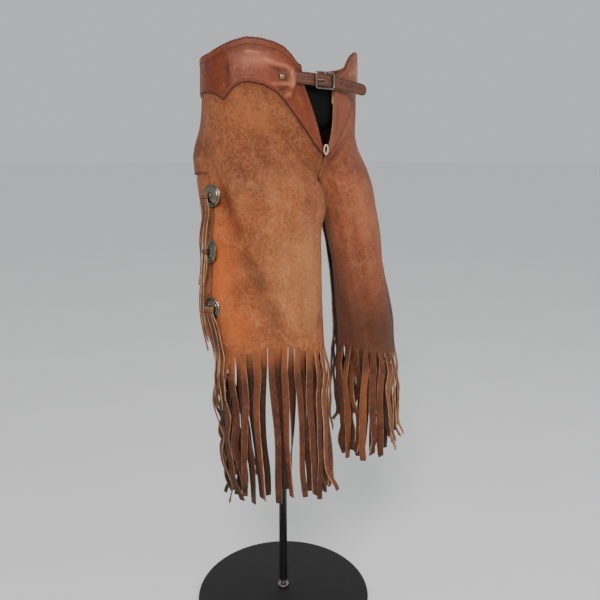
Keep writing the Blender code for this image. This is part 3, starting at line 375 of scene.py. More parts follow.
def facingOut(piece):
    shape = bmesh.new()
    shape.from_mesh(piece.data)
    bmesh.ops.recalc_face_normals(shape, faces=shape.faces)
    if shape.calc_volume(signed=True) < 0:
        bmesh.ops.reverse_faces(shape, faces=shape.faces)
    shape.to_mesh(piece.data)
    shape.free()


def domeFaces(rings, steps):
    # stacked rings of points, closed by the first and the second point after them
    faces = []
    for r in range(rings - 1):
        for k in range(steps):
            n = (k + 1) % steps
            faces.append((r * steps + k, (r + 1) * steps + k, (r + 1) * steps + n, r * steps + n))
    top = rings * steps
    for k in range(steps):
        n = (k + 1) % steps
        faces.append((top, k, n))
        faces.append((top + 1, top - steps + n, top - steps + k))
    return faces


def tubeFaces(rings, size, closed=False):
    faces = []
    for r in range(rings if closed else rings - 1):
        after = (r + 1) % rings * size
        for k in range(size):
            n = (k + 1) % size
            faces.append((r * size + k, r * size + n, after + n, after + k))
    return faces


def cappedTube(rings, size, kinds):
    # a tube with flat ends, with the slot of each of its faces
    last = (rings - 1) * size
    faces = tubeFaces(rings, size)
    faces += [tuple(range(size))[::-1], tuple(range(last, last + size))]
    return faces, kinds * (rings - 1) + [2, 2]


def sheetMesh(label, name, points, looks, station, heights, fields, keep=None):
    # one face of a leather sheet; its thickness comes from a Solidify
    rows, columns = points.shape[:2]
    if keep is None:
        keep = np.ones((rows - 1, columns - 1), bool)
    uv = np.stack([station * stationArc, heights], axis=-1)
    index = np.arange(rows * columns).reshape(rows, columns)
    a = index[:-1, :-1][keep]
    b = index[:-1, 1:][keep]
    c = index[1:, 1:][keep]
    d = index[1:, :-1][keep]
    quads = np.stack([a, b, c, d], axis=1)
    if sides[name] > 0:
        quads = quads[:, ::-1]
    used = np.unique(quads)
    renumber = np.full(rows * columns, -1)
    renumber[used] = np.arange(len(used))
    flatFields = {key: values.ravel()[used] for key, values in fields.items()}
    piece = makeMesh(
        label,
        points.reshape(-1, 3)[used],
        renumber[quads].tolist(),
        looks,
        uv.reshape(-1, 2)[used],
        flatFields,
    )
    wall = piece.modifiers.new("wall", "SOLIDIFY")
    wall.thickness = leather["wall"]
    wall.offset = -1.0
    wall.use_even_offset = True
    wall.material_offset = 1
    wall.material_offset_rim = 2
    return piece


def spread(top, bottom, count):
    share = np.linspace(0.0, 1.0, count + 1)[:, None]
    return top[None, :] * (1 - share) + bottom[None, :] * share


def baked(piece):
    # the evaluated mesh in place of the modifiers
    depsgraph = bpy.context.evaluated_depsgraph_get()
    mesh = bpy.data.meshes.new_from_object(piece.evaluated_get(depsgraph), depsgraph=depsgraph)
    piece.modifiers.clear()
    old = piece.data
    piece.data = mesh
    bpy.data.meshes.remove(old)
    mesh.name = piece.name
    return piece


def feed(tree, socket, value):
    if isinstance(value, bpy.types.NodeSocket):
        tree.links.new(value, socket)
    else:
        socket.default_value = value


def calc(tree, operation, *values):
    node = tree.nodes.new("ShaderNodeMath")
    node.operation = operation
    for socket, value in zip(node.inputs, values):
        feed(tree, socket, value)
    return node.outputs[0]


def vectorCalc(tree, operation, *values):
    node = tree.nodes.new("ShaderNodeVectorMath")
    node.operation = operation
    for socket, value in zip(node.inputs, values):
        feed(tree, socket, value)
    return node.outputs["Value" if operation == "LENGTH" else "Vector"]


def mixColour(tree, share, low, high):
    node = tree.nodes.new("ShaderNodeMix")
    node.data_type = "RGBA"
    feed(tree, node.inputs[0], share)
    feed(tree, node.inputs[6], low)
    feed(tree, node.inputs[7], high)
    return node.outputs[2]


def ranged(tree, value, low, high, toLow=0.0, toHigh=1.0):
    node = tree.nodes.new("ShaderNodeMapRange")
    for socket, number in zip(node.inputs, (value, low, high, toLow, toHigh)):
        feed(tree, socket, number)
    return node.outputs[0]


def noise(tree, vector, scale, detail=3.0, rough=0.55, distortion=0.0):
    node = tree.nodes.new("ShaderNodeTexNoise")
    for key, value in (("Vector", vector), ("Scale", scale), ("Detail", detail)):
        feed(tree, node.inputs[key], value)
    node.inputs["Roughness"].default_value = rough
    node.inputs["Distortion"].default_value = distortion
    return node


def attribute(tree, name):
    node = tree.nodes.new("ShaderNodeAttribute")
    node.attribute_name = name
    return node.outputs["Fac"]


def startGroup(name, inputs, outputs):
    tree = bpy.data.node_groups.new(name, "ShaderNodeTree")
    for label, kind, value in inputs:
        socket = tree.interface.new_socket(label, in_out="INPUT", socket_type="NodeSocket" + kind)
        if value is not None:
            socket.default_value = value
    for label in outputs:
        tree.interface.new_socket(label, in_out="OUTPUT", socket_type="NodeSocketFloat")
    return tree, tree.nodes.new("NodeGroupInput").outputs, tree.nodes.new("NodeGroupOutput").inputs


def hideGrainGroup():
    # pebbled grain with fine pores between the pebbles
    tree, given, out = startGroup(
        "hideGrain",
        [("Vector", "Vector", None), ("Scale", "Float", 700.0), ("Pull", "Float", 0.3)],
        ["Height", "Pores"],
    )
    soft = noise(tree, given["Vector"], calc(tree, "MULTIPLY", given["Scale"], 0.12), 2.0)
    shift = vectorCalc(tree, "SCALE", soft.outputs["Color"])
    shift.node.inputs["Scale"].default_value = 0.004
    warped = vectorCalc(tree, "ADD", given["Vector"], shift)
    cells = tree.nodes.new("ShaderNodeTexVoronoi")
    cells.feature = "DISTANCE_TO_EDGE"
    feed(tree, cells.inputs["Vector"], warped)
    feed(tree, cells.inputs["Scale"], given["Scale"])
    pebbles = ranged(tree, cells.outputs["Distance"], 0.0, 0.28)
    fine = noise(tree, warped, calc(tree, "MULTIPLY", given["Scale"], 2.6), 3.0).outputs[0]
    wide = noise(tree, warped, calc(tree, "MULTIPLY", given["Scale"], 0.2), 3.0, 0.6).outputs[0]
    height = calc(tree, "MULTIPLY_ADD", pebbles, 0.42, calc(tree, "MULTIPLY", fine, 0.30))
    feed(tree, out["Height"], calc(tree, "MULTIPLY_ADD", wide, given["Pull"], height))
    feed(tree, out["Pores"], calc(tree, "SUBTRACT", 1.0, pebbles))
    return tree


def hideMottleGroup():
    # broad uneven dye, small darker spots and rubbed places
    tree, given, out = startGroup(
        "hideMottle", [("Vector", "Vector", None), ("Scale", "Float", 14.0)], ["Tone", "Spots", "Rub"]
    )
    place = given["Vector"]
    finer = [calc(tree, "MULTIPLY", given["Scale"], times) for times in (7.0, 3.1, 18.0)]
    broad = noise(tree, place, given["Scale"], 5.0, 0.62, 0.4).outputs[0]
    small = noise(tree, place, finer[0], 4.0, 0.6, 0.8).outputs[0]
    rub = noise(tree, place, finer[1], 6.0, 0.7, 1.2).outputs[0]
    dapple = noise(tree, place, finer[2], 3.0, 0.6).outputs[0]
    mixed = calc(tree, "MULTIPLY_ADD", dapple, 0.48, calc(tree, "MULTIPLY", broad, 0.52))
    feed(tree, out["Tone"], ranged(tree, mixed, 0.40, 0.60))
    feed(tree, out["Spots"], ranged(tree, small, 0.52, 0.68))
    feed(tree, out["Rub"], ranged(tree, rub, 0.52, 0.70))
    return tree


def scratchArcGroup():
    # one thin broken scratch on a circle, only near its middle
    tree, given, out = startGroup(
        "scratchArc",
        [
            ("Vector", "Vector", None),
            ("Centre", "Vector", None),
            ("Radius", "Float", 0.08),
            ("Middle", "Vector", None),
            ("Reach", "Float", 0.04),
            ("Width", "Float", 0.0007),
        ],
        ["Mask"],
    )
    sway = noise(tree, given["Vector"], 60.0, 2.0).outputs[0]
    radius = calc(tree, "MULTIPLY_ADD", sway, 0.006, given["Radius"])
    away = vectorCalc(tree, "LENGTH", vectorCalc(tree, "SUBTRACT", given["Vector"], given["Centre"]))
    off = calc(tree, "ABSOLUTE", calc(tree, "SUBTRACT", away, radius))
    line = ranged(tree, off, given["Width"], 0.0)
    far = vectorCalc(tree, "LENGTH", vectorCalc(tree, "SUBTRACT", given["Vector"], given["Middle"]))
    near = ranged(tree, calc(tree, "DIVIDE", far, given["Reach"]), 1.0, 0.7)
    broken = ranged(tree, noise(tree, given["Vector"], 420.0, 2.0).outputs[0], 0.40, 0.60)
    feed(tree, out["Mask"], calc(tree, "MULTIPLY", calc(tree, "MULTIPLY", line, near), broken))
    return tree


def edgeRubGroup():
    # a band along cut edges, broken up by noise
    tree, given, out = startGroup(
        "edgeRub",
        [("Edge", "Float", 0.03), ("Width", "Float", 0.002), ("Vector", "Vector", None)],
        ["Mask"],
    )
    ragged = noise(tree, given["Vector"], 180.0, 3.0).outputs[0]
    band = calc(tree, "MULTIPLY", given["Width"], calc(tree, "ADD", ragged, 0.5))
    share = calc(tree, "DIVIDE", given["Edge"], band)
    feed(tree, out["Mask"], ranged(tree, share, 1.0, 0.35))
    return tree


groups = {
    "grain": hideGrainGroup(),
    "mottle": hideMottleGroup(),
    "scratch": scratchArcGroup(),
    "edge": edgeRubGroup(),
}


def useGroup(tree, key, **values):
    node = tree.nodes.new("ShaderNodeGroup")
    node.node_tree = groups[key]
    for label, value in values.items():
        feed(tree, node.inputs[label], value)
    return node.outputs


def newMaterial(name, rough=0.6, metal=0.0):
    material = bpy.data.materials.new(name)
    material.use_nodes = True
    shader = material.node_tree.nodes["Principled BSDF"]
    shader.inputs["Roughness"].default_value = rough
    shader.inputs["Metallic"].default_value = metal
    return material, material.node_tree, shader


def bump(tree, shader, height, distance):
    node = tree.nodes.new("ShaderNodeBump")
    node.inputs["Distance"].default_value = distance
    node.inputs["Strength"].default_value = 1.0
    feed(tree, node.inputs["Height"], height)
    tree.links.new(node.outputs[0], shader.inputs["Normal"])


def colour(red, green, blue):
    # from the 0 to 255 values of a colour picker to the shader's own
    linear = [((v / 255 + 0.055) / 1.055) ** 2.4 if v > 10 else v / 3294 for v in (red, green, blue)]
    return (*linear, 1.0)


def shaded(tree, tint, most, dark):
    # painted shade: darker where the piece's painted light and tone field is below nought
    share = ranged(tree, attribute(tree, "paintedLightAndTone"), 0.0, -1.0, 0.0, most)
    return mixColour(tree, share, tint, dark)


def leatherMaterial(name, look):
    material, tree, shader = newMaterial(name)
    place = tree.nodes.new("ShaderNodeTexCoord").outputs["Object"]
    mottle = useGroup(tree, "mottle", Vector=place, Scale=look["mottleScale"])
    grain = useGroup(tree, "grain", Vector=place, Scale=look["grainScale"], Pull=look["pull"])
    crest = attribute(tree, "crest")
    tint = mixColour(tree, mottle["Tone"], look["dark"], look["base"])
    # ridges of folds turn lighter, partly rubbed wear and partly painted highlight; valleys get painted
    # shade, together with the dye's dark spots and the grain's pores
    raised = calc(tree, "MULTIPLY", ranged(tree, crest, 0.0, 1.0), look["crest"])
    rubAndHighlight = calc(tree, "MAXIMUM", raised, calc(tree, "MULTIPLY", mottle["Rub"], look["rub"]))
    tint = mixColour(tree, rubAndHighlight, tint, look["light"])
    shadeSpotsAndPores = calc(tree, "MULTIPLY", ranged(tree, crest, 0.0, -1.0), look["sink"])
    shadeSpotsAndPores = calc(tree, "MAXIMUM", shadeSpotsAndPores, calc(tree, "MULTIPLY", mottle["Spots"], look["spots"]))
    shadeSpotsAndPores = calc(tree, "MAXIMUM", shadeSpotsAndPores, calc(tree, "MULTIPLY", grain["Pores"], look["pores"]))
    tint = mixColour(tree, shadeSpotsAndPores, tint, look["deep"])
    # painted sunlight: a warm orange where the light falls full on the hide
    if "sunlitGlow" in look:
        patchy = ranged(tree, mottle["Tone"], 0.0, 1.0, 0.62, 1.0)
        share = calc(tree, "MULTIPLY", attribute(tree, "sunlitGlow"), patchy)
        tint = mixColour(tree, share, tint, look["sunlitGlow"])
    # the piece's field darkens and lightens the hide: painted shade and painted light, with some random
    # tone
    tint = shaded(tree, tint, 0.8, look["deep"])
    bright = ranged(tree, attribute(tree, "paintedLightAndTone"), 0.0, 1.0, 0.0, 0.7)
    tint = mixColour(tree, bright, tint, look["light"])
    if "edge" in look:
        rim = useGroup(tree, "edge", Edge=attribute(tree, "edge"), Width=look["edgeWidth"], Vector=place)
        tint = mixColour(tree, calc(tree, "MULTIPLY", rim["Mask"], 0.7), tint, look["edge"])
    if "scratches" in look:
        flat = tree.nodes.new("ShaderNodeUVMap")
        flat.uv_map = "flat"
        marks = 0.0
        for centre, middle, radius, long, wide in look["scratches"]:
            arc = useGroup(
                tree,
                "scratch",
                Vector=flat.outputs[0],
                Centre=(*centre, 0.0),
                Middle=(*middle, 0.0),
                Radius=radius,
                Reach=long,
                Width=wide,
            )
            marks = calc(tree, "MAXIMUM", arc["Mask"], marks)
        tint = mixColour(tree, calc(tree, "MULTIPLY", marks, 0.55), tint, look["scratch"])
    tree.links.new(tint, shader.inputs["Base Color"])
    low, high = look["rough"]
    feed(tree, shader.inputs["Roughness"], ranged(tree, mottle["Rub"], 0.0, 1.0, high, low))
    shader.inputs["Specular IOR Level"].default_value = look["gloss"]
    shader.inputs["Sheen Weight"].default_value = look["sheen"]
    shader.inputs["Sheen Roughness"].default_value = 0.5
    bump(tree, shader, grain["Height"], look["relief"])
    return material


leatherLooks = {
    "panelHide": {
        "base": colour(182, 104, 56), "dark": colour(120, 62, 33), "light": colour(208, 142, 92),
        "deep": colour(72, 38, 22), "sunlitGlow": colour(202, 92, 18), "edge": colour(52, 28, 20),
        "edgeWidth": 0.0022, "mottleScale": 12.0, "grainScale": 560.0, "pull": 0.6, "crest": 0.45,
        "rub": 0.5, "sink": 0.62, "spots": 0.46, "pores": 0.36, "rough": (0.44, 0.66),
        "gloss": 0.34, "sheen": 0.03, "relief": 0.0011, "scratch": colour(222, 172, 126),
    },
    "yokeHide": {
        "base": colour(126, 50, 12), "dark": colour(96, 37, 10), "light": colour(190, 116, 84),
        "deep": colour(50, 23, 12), "edge": colour(38, 20, 15), "edgeWidth": 0.0022,
        "mottleScale": 16.0, "grainScale": 760.0, "pull": 0.35, "crest": 0.55, "rub": 0.22,
        "sink": 0.8, "spots": 0.20, "pores": 0.16, "rough": (0.26, 0.42), "gloss": 0.36,
        "sheen": 0.0, "relief": 0.0003,
    },
    "fringeHide": {
        "base": colour(110, 56, 30), "dark": colour(70, 36, 22), "light": colour(180, 108, 62),
        "deep": colour(30, 17, 12), "sunlitGlow": colour(152, 84, 45), "mottleScale": 26.0,
        "grainScale": 640.0, "pull": 0.5, "crest": 0.3, "rub": 0.3, "sink": 0.7, "spots": 0.35,
        "pores": 0.2, "rough": (0.5, 0.72), "gloss": 0.3, "sheen": 0.03, "relief": 0.0005,
    },
    "strapHide": {
        "base": colour(98, 50, 28), "dark": colour(64, 32, 20), "light": colour(150, 88, 52),
        "deep": colour(26, 15, 12), "edge": colour(26, 15, 11), "edgeWidth": 0.0018,
        "mottleScale": 40.0, "grainScale": 900.0, "pull": 0.3, "crest": 0.6, "rub": 0.3,
        "sink": 0.9, "spots": 0.2, "pores": 0.1, "rough": (0.34, 0.5), "gloss": 0.45,
        "sheen": 0.0, "relief": 0.0002,
    },
    "thongHide": {
        "base": colour(104, 60, 38), "dark": colour(70, 38, 26), "light": colour(170, 116, 78),
        "deep": colour(32, 19, 14), "mottleScale": 36.0, "grainScale": 800.0, "pull": 0.3,
        "crest": 0.3, "rub": 0.4, "sink": 0.7, "spots": 0.3, "pores": 0.1, "rough": (0.42, 0.6),
        "gloss": 0.38, "sheen": 0.02, "relief": 0.0002,
    },
    "liningHide": {
        "base": colour(112, 64, 48), "dark": colour(84, 46, 36), "light": colour(156, 100, 72),
        "deep": colour(46, 27, 22), "mottleScale": 24.0, "grainScale": 700.0, "pull": 0.4,
        "crest": 0.3, "rub": 0.3, "sink": 0.6, "spots": 0.2, "pores": 0.12, "rough": (0.5, 0.7),
        "gloss": 0.3, "sheen": 0.03, "relief": 0.0003,
    },
}

# Scratches on the flat leather: centre of the arc, middle of the mark, radius, reach, width
scratchesBySide = {
    "right": [
        ((0.250, 0.645), (0.176, 0.655), 0.075, 0.034, 0.0008),
        ((0.270, 0.612), (0.160, 0.616), 0.110, 0.040, 0.0007),
        ((0.240, 0.696), (0.176, 0.690), 0.064, 0.030, 0.0009),
        ((0.060, 0.820), (0.110, 0.806), 0.050, 0.022, 0.0006),
        ((0.320, 0.650), (0.220, 0.668), 0.100, 0.032, 0.0006),
        ((0.480, 0.780), (0.400, 0.770), 0.080, 0.030, 0.0007),
    ],
    "left": [
        ((0.334, 0.845), (0.086, 0.842), 0.248, 0.030, 0.0010),
        ((0.064, 0.960), (0.076, 0.860), 0.100, 0.014, 0.0008),
        ((0.160, 0.700), (0.080, 0.706), 0.080, 0.034, 0.0007),
        ((0.300, 0.720), (0.220, 0.716), 0.080, 0.032, 0.0007),
        ((0.460, 0.740), (0.390, 0.735), 0.070, 0.030, 0.0007),
    ],
}


def fleshMaterial():
    # the rough inner side of the hide
    material, tree, shader = newMaterial("fleshSide", 0.9)
    place = tree.nodes.new("ShaderNodeTexCoord").outputs["Object"]
    fibres = noise(tree, place, 260.0, 6.0, 0.7, 1.5).outputs[0]
    broad = noise(tree, place, 18.0, 3.0).outputs[0]
    tint = mixColour(tree, ranged(tree, broad, 0.3, 0.7), colour(80, 46, 32), colour(110, 66, 45))
    tint = mixColour(tree, ranged(tree, fibres, 0.5, 0.75, 0.0, 0.5), tint, colour(146, 98, 68))
    # painted shade where the piece's field is below nought
    tint = shaded(tree, tint, 0.75, colour(42, 26, 20))
    tree.links.new(tint, shader.inputs["Base Color"])
    shader.inputs["Specular IOR Level"].default_value = 0.2
    shader.inputs["Sheen Weight"].default_value = 0.2
    bump(tree, shader, fibres, 0.0006)
    return material


def cutMaterial():
    # pale raw edge with faint layers
    material, tree, shader = newMaterial("cutEdge", 0.85)
    place = tree.nodes.new("ShaderNodeTexCoord").outputs["Object"]
    layers = noise(tree, place, 900.0, 3.0).outputs[0]
    patches = noise(tree, place, 60.0, 3.0).outputs[0]
    tint = mixColour(tree, ranged(tree, patches, 0.35, 0.65), colour(112, 72, 48), colour(186, 138, 96))
    tint = mixColour(tree, ranged(tree, layers, 0.4, 0.7, 0.0, 0.4), tint, colour(206, 164, 122))
    # painted shade where the piece's field is below nought
    tint = shaded(tree, tint, 0.85, colour(44, 28, 20))
    tree.links.new(tint, shader.inputs["Base Color"])
    bump(tree, shader, layers, 0.0003)
    return material


def metalMaterial(name, bright, dull, rough):
    material, tree, shader = newMaterial(name, rough, 1.0)
    place = tree.nodes.new("ShaderNodeTexCoord").outputs["Object"]
    cloud = noise(tree, place, 320.0, 5.0, 0.65).outputs[0]
    hollow = attribute(tree, "hollow")
    tarnish = calc(tree, "MAXIMUM", hollow, ranged(tree, cloud, 0.52, 0.74, 0.0, 0.5))
    tree.links.new(mixColour(tree, tarnish, bright, dull), shader.inputs["Base Color"])
    feed(tree, shader.inputs["Roughness"], ranged(tree, tarnish, 0.0, 1.0, rough, rough + 0.3))
    bump(tree, shader, noise(tree, place, 1400.0, 3.0).outputs[0], 0.00008)
    return material


def plainMaterial(name, low, high, rough, scale, relief, metal=0.0):
    material, tree, shader = newMaterial(name, rough, metal)
    place = tree.nodes.new("ShaderNodeTexCoord").outputs["Object"]
    cloud = noise(tree, place, scale, 5.0, 0.6).outputs[0]
    dust = noise(tree, place, scale * 9, 4.0, 0.6).outputs[0]
    tree.links.new(mixColour(tree, ranged(tree, cloud, 0.35, 0.7), low, high), shader.inputs["Base Color"])
    feed(tree, shader.inputs["Roughness"], ranged(tree, cloud, 0.3, 0.7, rough - 0.06, rough + 0.08))
    bump(tree, shader, dust, relief)
    return material


# Plain materials: name, two colours, roughness, scale of the clouds, relief, metal
plainLooks = {
    "form": ("formBlack", (7, 7, 8), (11, 11, 11), 0.7, 30.0, 0.0001),
    "pole": ("poleBlack", (24, 24, 25), (34, 33, 33), 0.36, 60.0, 0.00006),
    "iron": ("castIron", (24, 22, 22), (36, 33, 32), 0.55, 90.0, 0.0003, 0.2),
    "steel": ("greySteel", (130, 128, 124), (164, 160, 155), 0.3, 120.0, 0.00005, 1.0),
    "thread": ("waxedThread", (112, 74, 50), (150, 104, 72), 0.7, 300.0, 0.0001),
    "stamp": ("stampedDots", (60, 34, 24), (84, 48, 32), 0.55, 300.0, 0.0001),
    "lace": ("paleLace", (196, 178, 148), (226, 210, 184), 0.8, 260.0, 0.0002),
}

materials = {name: leatherMaterial(name, look) for name, look in leatherLooks.items()}
for name in sides:
    look = dict(leatherLooks["panelHide"], scratches=scratchesBySide[name])
    # the far leg's hide is a darker copy: painted shade, as that leg stands in shade
    if name == "left":
        look.update(base=colour(172, 94, 58), dark=colour(128, 68, 44), light=colour(200, 132, 88))
    materials["panel" + name] = leatherMaterial("panelHide." + name, look)
materials["flesh"] = fleshMaterial()
materials["cut"] = cutMaterial()
materials["silver"] = metalMaterial("wornNickel", colour(132, 124, 110), colour(36, 31, 26), 0.2)
materials["brass"] = metalMaterial("darkRivet", colour(150, 134, 112), colour(70, 58, 48), 0.34)
for key, (title, low, high, *values) in plainLooks.items():
    materials[key] = plainMaterial(title, colour(*low), colour(*high), *values)
formShader = materials["form"].node_tree.nodes["Principled BSDF"]
formShader.inputs["Specular IOR Level"].default_value = 0.12
print("materials made")


def looksOf(front, back="flesh"):
    return [materials[front], materials[back], materials["cut"]]


def finished(piece, node):
    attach(piece, "root")
    if node:
        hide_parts(node)
    return piece


hide = {
    "fineColumns": 8, "under": 3, "upper": 40, "lower": 84, "flap": 26,
    "hemJitter": 0.0034, "crestFull": 0.0022, "borderWide": 0.03,
}
slitIndex = grid["slit"] * hide["fineColumns"]
lapIndex = grid["lap"] * hide["fineColumns"]
fineCount = (grid["columns"] - 1) * hide["fineColumns"]
finePlaces = np.linspace(0.0, (grid["columns"] - 1) * grid["step"], fineCount + 1)
flareRows = {"row": [1.0, 2.0, 3.0, 4.0], "lift": [0.0, 0.003, 0.0070, 0.0008]}
flareShare = {"column": [15.0, 16.0, 17.0, 21.0, 24.0], "share": [0.0, 0.75, 1.0, 0.8, 0.3]}

# Warm sunlit places: station, height, half sizes in stations and metres, strength
glowSpots = {
    "right": [(4.80, 0.715, 0.48, 0.085, 0.85), (4.35, 0.640, 0.48, 0.045, 0.66)],
    "left": [(4.6, 0.70, 0.8, 0.07, 0.30), (7.2, 0.72, 0.8, 0.05, 0.3)],
}


# How much painted shade each panel has: low down, at the top, inside the leg
panelShade = {
    "right": {"low": 0.0, "upper": 1.0, "inner": 0.25},
    "left": {"low": 1.1, "upper": 0.3, "inner": 1.0},
}


def sheetHem(name, place):
    # the foot of a sheet, a little uneven, inside the strip that the fringe grows from
    side = sides[name]
    wave = np.sin(9.1 * place + side) + 0.7 * np.sin(23.0 * place + 2.0 * side)
    wave = wave + 0.5 * np.sin(51.0 * place)
    return hemHeight(name, place) - leather["hemStrip"] - 0.001 + hide["hemJitter"] * wave / 1.6


def makePanel(name):
    place = finePlaces
    foot = heightOn(name, place, yokeBottom)
    head = readTable(slitHead, "place", "z", place)
    edge = sheetHem(name, place)
    heights = np.concatenate(
        [
            spread(foot + underYoke, foot, hide["under"]),
            spread(foot, head, hide["upper"])[1:],
            spread(head, edge, hide["lower"])[1:],
        ]
    )
    rows = np.concatenate(
        [
            np.linspace(0, 1, hide["under"] + 1),
            np.linspace(1, 4, hide["upper"] + 1)[1:],
            np.linspace(4, 13, hide["lower"] + 1)[1:],
        ]
    )
    wide = np.broadcast_to(place, heights.shape)
    station = stationAt(name, wide, heights)
    column = np.arange(len(place)) / hide["fineColumns"]
    share = readTable(flareShare, "column", "share", column)
    flare = readSmooth(flareRows["row"], flareRows["lift"], np.clip(rows, 1, 4))[:, None] * share
    flare = flare * (rows[:, None] <= 4.001)
    points = layer(name, station, heights, flare)

    keep = np.zeros((len(rows) - 1, len(place) - 1), bool)
    keep[: hide["under"] + hide["upper"], :] = True
    keep[:, :slitIndex] = True
    across = np.minimum(wide, place[-1] - wide) * stationArc
    slit = np.where(rows[:, None] > 4, np.abs(place[slitIndex] - wide) * stationArc, 1.0)
    lap = np.where(wide > place[slitIndex], np.abs(heights - head), 1.0)
    border = np.minimum(np.minimum(across, slit), lap)
    lift = creaseLift(name, station, heights)
    lift = lift + 0.10 * foldsAt(folds[name], station, heights, stationArc, 0.022)
    # painted sunlight: warm patches where the light falls
    sunlitGlow = np.zeros_like(heights)
    for at, z, half, tall, strength in glowSpots[name]:
        sunlitGlow = np.maximum(sunlitGlow, strength * spotAt(station, heights, at, z, half, tall))
    shade = panelShade[name]
    # painted light and shade: lighter on a lit patch of the thigh; darker low down, just under the yoke,
    # along the lap, at the top, inside the leg and towards the back
    low = smoothStep((0.80 - heights) / 0.22) * shade["low"]
    under = 0.30 * bell(heights, foot[None, :], 0.012) + 0.2 * bell(lap, 0.0, 0.004)
    upper = 0.24 * smoothStep((heights - 0.81) / 0.09) * shade["upper"]
    lit = 0.34 * spotAt(station, heights, 2.5, 0.71, 1.3, 0.09)
    inner = 0.7 * bell(station, -0.1, 0.45) * smoothStep((0.88 - heights) / 0.05) * shade["inner"]
    back = 0.35 * smoothStep((station - 5.15) / 0.4) * smoothStep((heights - 0.80) / 0.05)
    # crest carries the folds' ridges and valleys to the shader's painted highlight and shade
    fields = {
        "crest": np.clip(lift / hide["crestFull"], -1, 1),
        "edge": np.clip(border, 0, hide["borderWide"]),
        "sunlitGlow": sunlitGlow,
        "paintedLightAndTone": lit - (low + under + back + upper + inner),
    }
    looks = looksOf("panel" + name)
    piece = sheetMesh("legPanel." + name, name, points, looks, station, heights, fields, keep)
    return finished(piece, "leg_panel_" + name)


def makeFlap(name):
    place = finePlaces[lapIndex:]
    head = readTable(slitHead, "place", "z", place)
    foot = heightOn(name, place, yokeBottom)
    top = head + (foot - head) / 3
    edge = sheetHem(name, place)
    heights = np.concatenate([spread(top, head, hide["flap"]), spread(head, edge, hide["lower"])[1:]])
    wide = np.broadcast_to(place, heights.shape)
    station = stationAt(name, wide, heights)
    points = layer(name, station, heights, -leather["wall"] - leather["lapGap"])
    border = np.minimum(wide - place[0], place[-1] - wide) * stationArc
    lift = creaseLift(name, station, heights)
    # painted sunlight on the flap, and painted shade beside the slit
    sunlitGlow = 0.3 * spotAt(station, heights, 6.6, 0.62, 0.8, 0.07)
    shade = bell(wide, finePlaces[slitIndex], 0.5)
    fields = {
        "crest": np.clip(lift / hide["crestFull"], -1, 1),
        "edge": np.clip(border, 0, hide["borderWide"]),
        "sunlitGlow": sunlitGlow,
        "paintedLightAndTone": -0.3 * shade,
    }
    looks = looksOf("panel" + name)
    piece = sheetMesh("backFlap." + name, name, points, looks, station, heights, fields)
    return finished(piece, "back_flap_" + name)


yoke = {
    "drops": [
        0.0, 0.0005, 0.001, 0.0014, 0.0018, 0.0022, 0.0028, 0.004, 0.0055, 0.007, 0.0085,
        0.0094, 0.0099, 0.0104, 0.0109, 0.0117, 0.0121, 0.0125, 0.0129, 0.0137, 0.0145, 0.0149,
        0.0153, 0.0162, 0.0171, 0.0175, 0.0179, 0.019, 0.0205,
    ],
    "rises": [0.006, 0.0046, 0.0038, 0.0034, 0.003, 0.0024, 0.0015, 0.0008, 0.0003, 0.0],
    "middle": 34, "rimGroove": 0.0018, "bandGroove": 0.0102, "lines": [0.0125, 0.0149, 0.0175],
    "footGroove": 0.0034, "frontGroove": 0.0032, "degreeArc": 0.00236,
    "strapFold": {"round": 25.2, "half": 0.0042, "lift": 0.0052},
}


